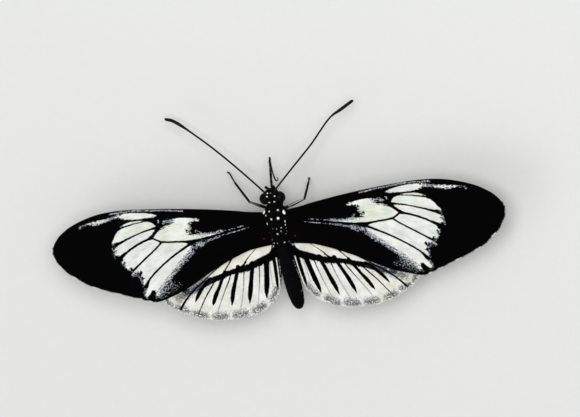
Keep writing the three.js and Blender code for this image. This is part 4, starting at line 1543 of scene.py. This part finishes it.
@dataclass
class Trunk:
    """Head, thorax and abdomen in one skin, with its coat of short scales and hair."""

    skin_look: bpy.types.Material
    coat_look: bpy.types.Material
    around: int = 96
    rings: int = 250
    segments: int = 8
    segments_front: float = -4.3
    segments_rear: float = -15.6
    groove: float = 0.07
    groove_width: float = 0.09
    tuft_width: float = 0.05
    tuft_sink: float = 0.04
    tuft_bow: float = 0.12
    belly_level: float = 5.6
    belly_fade: float = 0.8
    seed: int = 5
    profile: Points = (
        (5.5, 0.08, 0.06, 6.15), (5.42, 0.6, 0.6, 6.2), (5.05, 1.02, 1.02, 6.28),
        (4.3, 1.26, 1.24, 6.3), (3.7, 1.3, 1.18, 6.32), (3.25, 1.1, 0.97, 6.36),
        (2.95, 0.98, 0.98, 6.4), (2.6, 1.25, 1.25, 6.42), (2.1, 1.5, 1.5, 6.43),
        (1.2, 1.68, 1.74, 6.43), (-0.3, 1.72, 1.82, 6.43), (-1.8, 1.56, 1.66, 6.43),
        (-3.0, 1.18, 1.22, 6.43), (-3.85, 0.86, 0.9, 6.4), (-4.25, 0.84, 0.88, 6.38),
        (-5.4, 1.12, 1.12, 6.34), (-7.6, 1.26, 1.25, 6.22), (-10.6, 1.33, 1.31, 6.0),
        (-13.2, 1.25, 1.2, 5.77), (-15.0, 0.95, 0.9, 5.58), (-15.8, 0.5, 0.48, 5.5),
        (-16.02, 0.06, 0.06, 5.48),
    )
    dots: Sequence[Dot] = (
        Dot(0.49, 4.6, 0.09, 0.0, 3.6), Dot(-0.79, 4.5, 0.09, 0.0, 3.0),
        Dot(0.32, 5.1, 0.09, 0.0, 1.6), Dot(-0.22, 5.1, 0.06), Dot(1.08, 3.63, 0.1),
        Dot(-0.98, 3.76, 0.1), Dot(0.31, 3.55, 0.11, 0.15, 1.5), Dot(-0.57, 3.57, 0.12, 0.6, 1.5),
        Dot(0.48, 2.2, 0.11), Dot(-0.9, 2.21, 0.145), Dot(1.22, 1.5, 0.17, 0.7),
        Dot(0.34, 0.96, 0.15), Dot(-0.81, 0.92, 0.19, 0.0, 1.3), Dot(1.42, 0.04, 0.2),
        Dot(-1.58, 0.02, 0.22), Dot(-1.5, -0.55, 0.11), Dot(0.46, -0.71, 0.06, 0.5),
        Dot(-0.2, -0.76, 0.05, 0.5), Dot(-0.94, -0.78, 0.1, 0.6), Dot(-0.77, -1.37, 0.09, 0.9),
        Dot(-1.5, -1.15, 0.07), Dot(-1.45, -1.65, 0.07), Dot(-1.25, -2.15, 0.07),
        Dot(1.5, -1.15, 0.07), Dot(1.45, -1.65, 0.07), Dot(-0.12, -1.72, 0.14),
        Dot(0.62, -3.62, 0.11), Dot(-0.62, -3.62, 0.11), Dot(1.22, -12.3, 0.1, 0.0, 1.4),
        Dot(-1.2, -12.7, 0.1, 0.0, 1.4),
    )
    shoulder: Sequence[float] = (1.45, 24.0)
    shoulder_size: Sequence[float] = (0.9, 17.0)
    shoulder_height: float = 0.42
    patches: Points = ((1.72, 2.05, 7.3), (-1.8, 1.6, 7.2))
    patch_radius: float = 0.36
    coats: Sequence[Coat] = (
        Coat("head_coat", 3600, (0.03, 0.125), 0.09, 0.4),
        Coat("thorax_coat", 14000, (0.125, 0.44), 0.16, 0.35),
        Coat("abdomen_coat", 12000, (0.44, 0.985), 0.17, 0.16),
    )

    def section(self, v: Array) -> Array:
        """Half width, half height and middle level of the skin along the body.

        Args:
            v: Share of the way from the head's front to the abdomen's tip.

        Returns:
            Rows of ahead, half width, half height and level.
        """
        table = smooth(self.profile)
        path = table[:, :2] * [1.0, 0.8]
        steps = np.linalg.norm(np.diff(path, axis=0), axis=1)
        length = np.concatenate([[0.0], np.cumsum(steps)])
        at = v * length[-1]
        rows = np.stack([np.interp(at, length, table[:, k]) for k in range(4)], axis=1)
        share = (self.segments_front - rows[:, 0]) / (self.segments_front - self.segments_rear)
        share *= self.segments
        ring = np.where((share > 0) & (share < self.segments), share % 1.0, 0.5)
        dent = np.exp(-((np.minimum(ring, 1 - ring) / self.groove_width) ** 2))
        rows[:, 1:3] *= (1 - self.groove * dent)[:, None]
        return rows

    def skin(self, u: Array, v: Array) -> Array:
        """Points of the skin.

        Args:
            u: Share of the way round, from the left side over the back.
            v: Share of the way from head to tail.

        Returns:
            Rows of x to the left, ahead and up.
        """
        ahead, half, tall, level = self.section(v).T
        turn = 2 * np.pi * u
        climb = np.degrees(np.arctan2(np.sin(turn), np.abs(np.cos(turn))))
        along = (ahead - self.shoulder[0]) / self.shoulder_size[0]
        round_it = (climb - self.shoulder[1]) / self.shoulder_size[1]
        lobe = self.shoulder_height * np.exp(-(along**2) - round_it**2)
        out, up = (half + lobe) * np.cos(turn), level + (tall + lobe) * np.sin(turn)
        return np.column_stack([out, ahead, up])

    def perch(self, out: float, ahead: float) -> Array:
        """Find the skin's upper side over a spot of the plan.

        Args:
            out: The spot's x, to the left.
            ahead: How far ahead it lies.

        Returns:
            The point of the skin there, as x, ahead and up.
        """
        rows = self.section(np.linspace(0, 1, 400))
        half, tall, level = (np.interp(-ahead, -rows[:, 0], rows[:, k]) for k in (1, 2, 3))
        share = min(0.96, abs(out) / half)
        up = level + tall * math.sqrt(1 - share**2)
        return np.array([math.copysign(share * half, out), ahead, up])

    def markings(self, points: Array) -> dict[str, Array]:
        """Work out the coat's pattern.

        Args:
            points: Rows of x, ahead and up on the skin.

        Returns:
            The numbers that the body material reads, by name.
        """
        warm = np.zeros(len(points))
        gaps = [np.linalg.norm(points - patch, axis=1) for patch in self.patches]
        dot = self.patch_radius - np.min(gaps, axis=0)
        for spot in self.dots:
            gap = (points - self.perch(spot.out, spot.ahead)) / [spot.stretch, 1, 1]
            level = spot.radius - np.linalg.norm(gap, axis=1)
            warm = np.where(level > dot, spot.warm, warm)
            dot = np.maximum(dot, level)
        belly = np.clip((self.belly_level - points[:, 2]) / self.belly_fade, 0, 1) * 0.8
        return {"dot": dot, "dot_warm": warm, "belly": belly}

    def build(self) -> None:
        """Make the skin and its coat."""
        obj, u, v = sheet("body_skin", self.around, self.rings)
        points = self.skin(u, v)
        write_points(obj, placed(Side.LEFT, points))
        for key, values in self.markings(points).items():
            paint(obj, key, values)
        face_out(obj)
        soften(obj, 70)
        fit(obj, "body", self.skin_look, "head", "thorax", "abdomen")
        for coat in self.coats:
            self.grow(coat)

    def grow(self, coat: Coat) -> None:
        """Set tufts on a stretch of the skin.

        Args:
            coat: The coat piece.
        """
        count = coat.count
        rng = np.random.default_rng(self.seed + count)
        u = rng.random(count)
        v = rng.uniform(*coat.span, count)
        root = self.skin(u, v)
        step = 0.002
        along = unit(self.skin(u, v + step) - self.skin(u, v - step))
        over = unit(self.skin(u + step, v) - self.skin(u - step, v))
        normal = np.cross(over, along)
        outward = root - np.column_stack([np.zeros(count), root[:, 1], self.section(v)[:, 3]])
        normal *= np.sign(np.sum(normal * outward, axis=1))[:, None]
        steep = np.clip(rng.normal(coat.lift, 0.12, count), 0.05, 0.9)[:, None]
        lean = over * rng.normal(0, 0.22, (count, 1))
        way = unit(along * np.sqrt(1 - steep**2) + normal * steep + lean)
        size = (coat.length * rng.uniform(0.6, 1.25, count))[:, None]
        obj = blades(
            coat.name,
            placed(Side.LEFT, root - normal * self.tuft_sink),
            placed(Side.LEFT, root + way * size),
            turned(Side.LEFT, over),
            self.tuft_width * MM * rng.uniform(0.7, 1.3, count),
            turned(Side.LEFT, normal) * (self.tuft_bow * size * MM),
        )
        for key, values in self.markings(root).items():
            paint(obj, key, np.repeat(values, BLADE_CORNERS))
        self.unwrap(obj, u, v)
        fit(obj, "body", self.coat_look)

    def unwrap(self, obj: bpy.types.Object, u: Array, v: Array) -> None:
        """Give each tuft a small patch at its root's place on the skin's unwrap.

        Args:
            obj: The coat piece.
            u: Each root's share round the body.
            v: Each root's share along the body.
        """
        layer = obj.data.uv_layers.new(name="OFBake")
        patch = 0.003
        corner = np.array([[0, 0], [1, 0], [0.5, 0.2], [0, 0.6], [1, 0.6], [0.5, 0.8], [0.5, 1]])
        spot = np.column_stack([u, v]) * 0.99 + patch
        places = (spot[:, None, :] + corner[None] * patch).reshape(-1, 2)
        index = np.empty(len(obj.data.loops), int)
        obj.data.loops.foreach_get("vertex_index", index)
        layer.data.foreach_set("uv", places[index].astype(np.float32).ravel())


@dataclass(frozen=True)
class HairyLimb:
    """A short limb brushed with hair, built alike on both sides.

    Its radii stand at shares of its length. The hair's lengths are the shortest and the
    longest, sink is how far its roots stand from the middle line, lift how far its tips
    start from there, and lean how much it leaves the limb's own direction.
    """

    node: str
    slot: str
    knots: Points
    stops: Sequence[float]
    radii: Sequence[float]
    stations: int
    hairs: int
    first_hair: float
    lengths: tuple[float, float]
    width: float
    sink: float
    lift: float
    lean: float
    bow: float
    seed: int
    around: int = 12

    def build(self, side: Side, look: bpy.types.Material) -> None:
        """Make the limb on one side.

        Args:
            side: The side.
            look: Its material.
        """
        shares = np.linspace(0, 1, self.stations)
        line = spaced(smooth(self.knots), shares)
        radii = np.interp(shares, self.stops, self.radii)
        path, thick = capped(placed(side, line), radii * MM)
        name = f"{self.node}_{side.word}"
        core = tube(name + "_brush", path, thick, self.around)
        fit_horn(joined(name + "_brush", [core, self.hair(line, side)]), self.slot, look, name)

    def hair(self, line: Array, side: Side) -> bpy.types.Object:
        """Set the hair.

        Args:
            line: The limb's middle line.
            side: The side.

        Returns:
            The hair.
        """
        rng = np.random.default_rng(self.seed)
        share = rng.uniform(self.first_hair, 1.0, self.hairs)
        foot = spaced(line, share)
        way = courses(line, share, 0.05)
        turn = squared(rng.normal(size=(self.hairs, 3)), way)
        size = rng.uniform(*self.lengths, (self.hairs, 1))
        tip = foot + turn * self.lift + (way + turn * self.lean) * size
        return blades(
            self.node + "_hair",
            placed(side, foot + turn * self.sink),
            placed(side, tip),
            turned(side, np.cross(way, turn)),
            self.width * MM,
            turned(side, turn) * self.bow * MM,
        )


PALP = HairyLimb(
    node="palp",
    slot="feeler",
    knots=((0.42, 4.8, 5.7), (0.5, 5.3, 5.88), (0.6, 5.6, 6.12), (0.66, 5.86, 6.38)),
    stops=(0, 0.4, 0.8, 1),
    radii=(0.22, 0.2, 0.14, 0.06),
    stations=30,
    hairs=170,
    first_hair=0.02,
    lengths=(0.15, 0.32),
    width=0.06,
    sink=0.06,
    lift=0.13,
    lean=0.45,
    bow=0.05,
    seed=31,
)

FORELEG = HairyLimb(
    node="foreleg",
    slot="leg",
    knots=((0.8, 1.9, 5.3), (0.95, 2.6, 4.75), (0.75, 3.3, 4.6), (0.42, 3.8, 4.6)),
    stops=(0, 0.3, 0.5, 1),
    radii=(0.22, 0.19, 0.15, 0.1),
    stations=40,
    hairs=150,
    first_hair=0.1,
    lengths=(0.2, 0.4),
    width=0.05,
    sink=0.08,
    lift=0.14,
    lean=0.5,
    bow=0.03,
    seed=23,
)


@dataclass
class HeadParts:
    """Eyes, feelers, palps and the tongue."""

    eye_look: bpy.types.Material
    feeler_look: bpy.types.Material
    palp_look: bpy.types.Material
    tongue_look: bpy.types.Material
    eye_place: Sequence[float] = (1.2, 3.88, 6.32)
    eye_radii: Sequence[float] = (1.0, 0.98, 0.98)
    stations: int = 420
    around: int = 10
    stalk: float = 0.158
    stalk_foot: float = 0.03
    club: float = 0.12
    feeler_rings: int = 60
    tongue_rings: int = 105
    tongue_clumps: int = 60
    feelers: dict[Side, Points] = field(
        default_factory=lambda: {
            Side.LEFT: [
                [0.7, 4.9, 6.95], [0.92, 5.3, 7.0], [3.2, 7.6, 6.25], [6.9, 11.3, 5.3],
                [10.7, 14.7, 4.4], [14.8, 17.8, 3.5], [16.1, 18.2, 3.3],
            ],
            Side.RIGHT: [
                [0.7, 4.9, 6.95], [0.92, 5.3, 7.0], [4.0, 8.2, 6.1], [8.1, 11.9, 5.1],
                [12.1, 15.9, 4.1], [14, 16.9, 3.75], [16.1, 18, 3.3],
            ],
        }
    )
    tongue_knots: Points = (
        (0.1, 4.9, 5.1), (0.17, 5.3, 4.95), (0.15, 6.2, 4.7), (0.11, 7.11, 4.35),
        (0.07, 8.18, 3.95), (0.07, 9.22, 3.5), (0.05, 9.7, 3.3), (0.07, 9.62, 3.14),
        (0.12, 9.15, 3.1), (0.23, 8.31, 2.95), (0.34, 7.33, 2.7), (0.38, 6.53, 2.45),
        (0.43, 5.9, 2.2), (0.41, 5.39, 2.05), (0.27, 5.16, 2.0), (0.07, 5.21, 2.0),
        (-0.08, 5.43, 2.05), (-0.1, 5.7, 2.15),
    )
    tongue_stops: Sequence[float] = (0, 0.2, 0.42, 0.5, 0.9, 1)
    tongue_radii: Sequence[float] = (0.23, 0.22, 0.19, 0.13, 0.12, 0.08)

    def build(self) -> None:
        """Make both sides' parts and the tongue."""
        for side in Side:
            self.eye(side)
            self.feeler(side)
            PALP.build(side, self.palp_look)
        self.tongue()

    def eye(self, side: Side) -> None:
        """Make one eye, deep set in the head.

        Args:
            side: The eye's side.
        """
        bpy.ops.object.select_all(action="DESELECT")
        bpy.ops.mesh.primitive_uv_sphere_add(segments=64, ring_count=40, radius=1)
        obj = bpy.context.active_object
        obj.name = f"eye_{side.word}_ball"
        write_points(obj, placed(side, read_points(obj) * self.eye_radii + self.eye_place))
        face_out(obj)
        soften(obj)
        fit(obj, "eye", self.eye_look, f"eye_{side.word}")

    def feeler(self, side: Side) -> None:
        """Make one feeler: a thin ringed stalk that thickens into a club.

        Args:
            side: The feeler's side.
        """
        share = np.linspace(0, 1, self.stations)
        line = spaced(smooth(self.feelers[side]), share)
        stalk = self.stalk + self.stalk_foot * np.exp(-share / 0.02)
        swollen = np.clip((share - 0.78) / 0.1, 0, 1) * np.clip((1.02 - share) / 0.05, 0, 1) ** 0.5
        ringed = 1 - 0.10 * np.maximum(0, np.cos(2 * np.pi * share * self.feeler_rings)) ** 6
        radii = (stalk + self.club * swollen) * ringed
        path, thick = capped(placed(side, line), radii * MM)
        obj = tube(f"feeler_{side.word}", path, thick, self.around)
        fit_horn(obj, "feeler", self.feeler_look, f"antenna_{side.word}")

    def tongue(self) -> None:
        """Make the tongue: out to a knee, back again and hooked at its end."""
        share = np.linspace(0, 1, self.stations)
        line = spaced(smooth(self.tongue_knots), share)
        radii = np.interp(share, self.tongue_stops, self.tongue_radii)
        clumps = np.random.default_rng(17).uniform(0.82, 1.16, self.tongue_clumps)
        clump = np.interp(share, np.linspace(0, 1, self.tongue_clumps), clumps)
        ringed = 1 - 0.06 * np.maximum(0, np.cos(2 * np.pi * share * self.tongue_rings)) ** 4
        path, thick = capped(placed(Side.LEFT, line), radii * clump * ringed * MM)
        obj = tube("tongue", path, thick, self.around)
        fit_horn(obj, "proboscis", self.tongue_look, "proboscis_upper", "proboscis_lower")


@dataclass
class Leg:
    """One walking leg: hip, thigh, shin and a foot of five joints with claws."""

    name: str
    side: Side
    hip: float
    knee: Sequence[float]
    ankle: Sequence[float]
    toe: Sequence[float]
    look: bpy.types.Material
    start: Sequence[float] = (0.75, 0.0, 5.35)
    bend: Sequence[float] = (1.62, 0.12, 4.45)
    stripe: float = 0.9
    stripe_way: Sequence[float] = (0.0, -0.5, 0.866)
    stripe_edge: float = 0.8
    sole: float = 0.22
    ball: Sequence[float] = (0.1, 0.1, 0.04)
    thigh_bow: float = 0.08
    hip_radii: Sequence[float] = (0.3, 0.34, 0.24)
    thigh_radii: Sequence[float] = (0.18, 0.27, 0.22, 0.18)
    shin_radii: Sequence[float] = (0.19, 0.21, 0.19, 0.18)
    joint_radii: Sequence[float] = (0.1, 0.12, 0.14)
    joint_cuts: Sequence[float] = (0.0, 0.46, 0.62, 0.74, 0.85, 1.0)
    claw: Points = ((-0.05, 0.0, 0.0), (0.14, 0.1, 0.06), (0.27, 0.12, -0.15))
    claw_radii: Sequence[float] = (0.05, 0.045, 0.018)
    spines: int = 44
    spine_width: float = 0.05
    stations: int = 26
    around: int = 14

    def build(self) -> None:
        """Make the leg's parts and join them."""
        start = np.array(self.start) + [0, self.hip, 0]
        bend = np.array(self.bend) + [0, self.hip, 0]
        knee, ankle = np.array(self.knee), np.array(self.ankle)
        toe = np.array([*self.toe, self.sole])
        ball = toe + (ankle - toe) * self.ball
        middle = (bend + knee) / 2 + [0, 0, self.thigh_bow]
        pieces = [
            self.limb([start, (start + bend) / 2, bend], self.hip_radii),
            self.limb([bend, middle, knee], self.thigh_radii, self.stripe),
            self.limb([knee, (knee + ankle) / 2, ankle], self.shin_radii),
            self.bristles(knee, ankle),
        ]
        foot = smooth([ankle, ankle + (ball - ankle) * 0.55, ball, toe])
        way = spaced(foot, np.linspace(0, 1, 60))
        for low, high in zip(self.joint_cuts[:-1], self.joint_cuts[1:]):
            pieces.append(self.limb(spaced(way, np.linspace(low, high, 5)), self.joint_radii))
        pieces += self.claws(way)
        obj = joined(f"leg_{self.name}", pieces)
        soften(obj)
        nodes = (f"{part}_{self.name}" for part in ("femur", "tibia", "tarsus"))
        fit(obj, "leg", self.look, *nodes)

    def limb(self, knots: Points, radii: Sequence[float], stripe: float = 0.0) -> bpy.types.Object:
        """Make one part of the leg.

        Args:
            knots: Its middle line, out, ahead and up.
            radii: Radii spaced evenly along it.
            stripe: How pale a stripe runs along its top.

        Returns:
            The part.
        """
        share = np.linspace(0, 1, self.stations)
        size = np.interp(share, np.linspace(0, 1, len(radii)), radii)
        path, thick = capped(placed(self.side, spaced(smooth(knots), share)), size * MM)
        obj = tube("leg_part", path, thick, self.around)
        points = read_points(obj)
        place, gap = nearest(points, path)
        top = (points - place) @ np.array(self.stripe_way) / np.maximum(gap, 1e-6 * MM)
        paint(obj, "stripe", np.clip((top - self.stripe_edge) * 9, 0, 1) * stripe)
        return obj

    def bristles(self, knee: Array, ankle: Array) -> bpy.types.Object:
        """Set short spines along the shin.

        Args:
            knee: The shin's upper end.
            ankle: Its lower end.

        Returns:
            The spines.
        """
        rng = np.random.default_rng(41)
        share = np.linspace(0.06, 0.97, self.spines)
        way = np.tile((ankle - knee) / np.linalg.norm(ankle - knee), (self.spines, 1))
        turn = squared(rng.normal(size=(self.spines, 3)), way)
        foot = knee + (ankle - knee) * share[:, None] + turn * 0.1
        tip = foot + (way * 0.75 + turn * 0.6) * rng.uniform(0.22, 0.34, (self.spines, 1))
        roots, tips = placed(self.side, foot), placed(self.side, tip)
        spread = turned(self.side, np.cross(way, turn))
        obj = blades("leg_bristles", roots, tips, spread, self.spine_width * MM, 0.0)
        paint(obj, "stripe", np.zeros(self.spines * BLADE_CORNERS))
        return obj

    def claws(self, way: Array) -> list[bpy.types.Object]:
        """Make the foot's pair of claws.

        Args:
            way: The foot's middle line.

        Returns:
            The two claws.
        """
        end = way[-1]
        ahead = (way[-1] - way[-8]) * [1, 1, 0]
        ahead /= np.linalg.norm(ahead)
        aside = np.array([-ahead[1], ahead[0], 0.0])
        hooks = []
        for sign in (1, -1):
            knots = [end + ahead * a + aside * sign * b + [0, 0, c] for a, b, c in self.claw]
            hooks.append(self.limb(knots, self.claw_radii))
        return hooks


@dataclass(frozen=True)
class Lamp:
    """A square soft lamp: its place and size in metres, and its power in watts."""

    name: str
    place: tuple[float, float, float]
    size: float
    power: float


@dataclass
class Studio:
    """The floor, the lights and the camera."""

    right: Sequence[float] = (-0.9379, 0.2133, -0.2735)
    up: Sequence[float] = (-0.0979, -0.9186, -0.3829)
    target: Sequence[float] = (2.341, 1.525, 5.743)
    lens: float = 1100.0
    sensor: float = 36.0
    frame_width: float = 93.96
    clip: Sequence[float] = (0.1, 12)
    floor_size: float = 6
    room_light: float = 0.4
    lamps: Sequence[Lamp] = (
        Lamp("key_lamp", (-0.25, -0.35, 0.75), 0.5, 5.8),
        Lamp("fill_lamp", (0.55, 0.25, 0.55), 0.6, 1.2),
    )

    def build(self) -> None:
        """Set up the floor, lights and camera."""
        self.floor()
        self.lights()
        self.camera()

    def floor(self) -> None:
        """Lay the floor."""
        bpy.ops.object.select_all(action="DESELECT")
        bpy.ops.mesh.primitive_plane_add(size=self.floor_size)
        obj = bpy.context.active_object
        obj.name = "floor"
        obj.data.materials.append(Ground().build())

    def lights(self) -> None:
        """Hang the lamps and fill the room with even light."""
        for lamp in self.lamps:
            data = bpy.data.lights.new(lamp.name, "AREA")
            data.size = lamp.size
            data.energy = lamp.power
            obj = bpy.data.objects.new(lamp.name, data)
            bpy.context.scene.collection.objects.link(obj)
            obj.location = lamp.place
            obj.rotation_euler = (-obj.location).to_track_quat("-Z", "Y").to_euler()
        world = bpy.data.worlds.new("room")
        world.use_nodes = True
        inputs = world.node_tree.nodes["Background"].inputs
        inputs["Color"].default_value = tint(1, 1, 1)
        inputs["Strength"].default_value = self.room_light
        bpy.context.scene.world = world

    def camera(self) -> None:
        """Aim the camera as the photograph was taken."""
        data = bpy.data.cameras.new("camera")
        data.lens = self.lens
        data.sensor_width = self.sensor
        data.clip_start, data.clip_end = self.clip
        obj = bpy.data.objects.new("camera", data)
        bpy.context.scene.collection.objects.link(obj)
        target = placed(Side.RIGHT, np.array([self.target]))[0]
        distance = self.frame_width * MM * self.lens / self.sensor
        right = Vector(self.right).normalized()
        toward = right.cross(Vector(self.up)).normalized()
        turn = Matrix([right, toward.cross(right), toward]).transposed().to_4x4()
        obj.matrix_world = Matrix.Translation(Vector(target) + toward * distance) @ turn
        bpy.context.scene.camera = obj
        bpy.context.scene.view_settings.view_transform = "Standard"


def main() -> None:
    """Build the butterfly and its studio."""
    logging.basicConfig(level=logging.INFO, format="%(name)s: %(message)s")
    Studio().build()
    white = WingScales("forewing_scales", tint(0.70, 0.715, 0.69), tint(0.64, 0.71, 0.56)).build()
    cream = WingScales("hindwing_scales", tint(0.70, 0.70, 0.65), tint(0.72, 0.69, 0.46)).build()
    for side in Side:
        Wing(FOREWING, side, white).build()
        Wing(HINDWING, side, cream).build()
    Trunk(BodyScales("skin_scales").build(), BodyScales("coat_scales", 0.6).build()).build()
    HeadParts(
        Eyeball().build(),
        Horn("feeler_horn", 0.5, 0.02).build(),
        Horn("palp_hair", 0.6, 0.03).build(),
        Horn("tongue_horn", 0.42, 0.02).build(),
    ).build()
    horn = Horn("leg_horn", 0.45, 0.02).build()
    for name, side, hip, knee, ankle, toe in (
        ("mid_left", Side.LEFT, 1.3, (4.25, 3.36, 5.7), (6.97, 5.87, 3.0), (8.75, 6.75)),
        ("mid_right", Side.RIGHT, 1.3, (5.15, 2.95, 5.7), (5.12, 4.3, 2.2), (4.7, 4.35)),
        ("hind_left", Side.LEFT, -1.6, (4.4, -4.3, 5.1), (6.7, -7.6, 2.3), (8.4, -11.2)),
        ("hind_right", Side.RIGHT, -1.6, (4.6, -4.1, 5.1), (6.5, -7.9, 2.3), (7.9, -11.6)),
    ):
        Leg(name, side, hip, knee, ankle, toe, horn).build()
    for side in Side:
        FORELEG.build(side, horn)


if __name__ == "__main__":
    main()
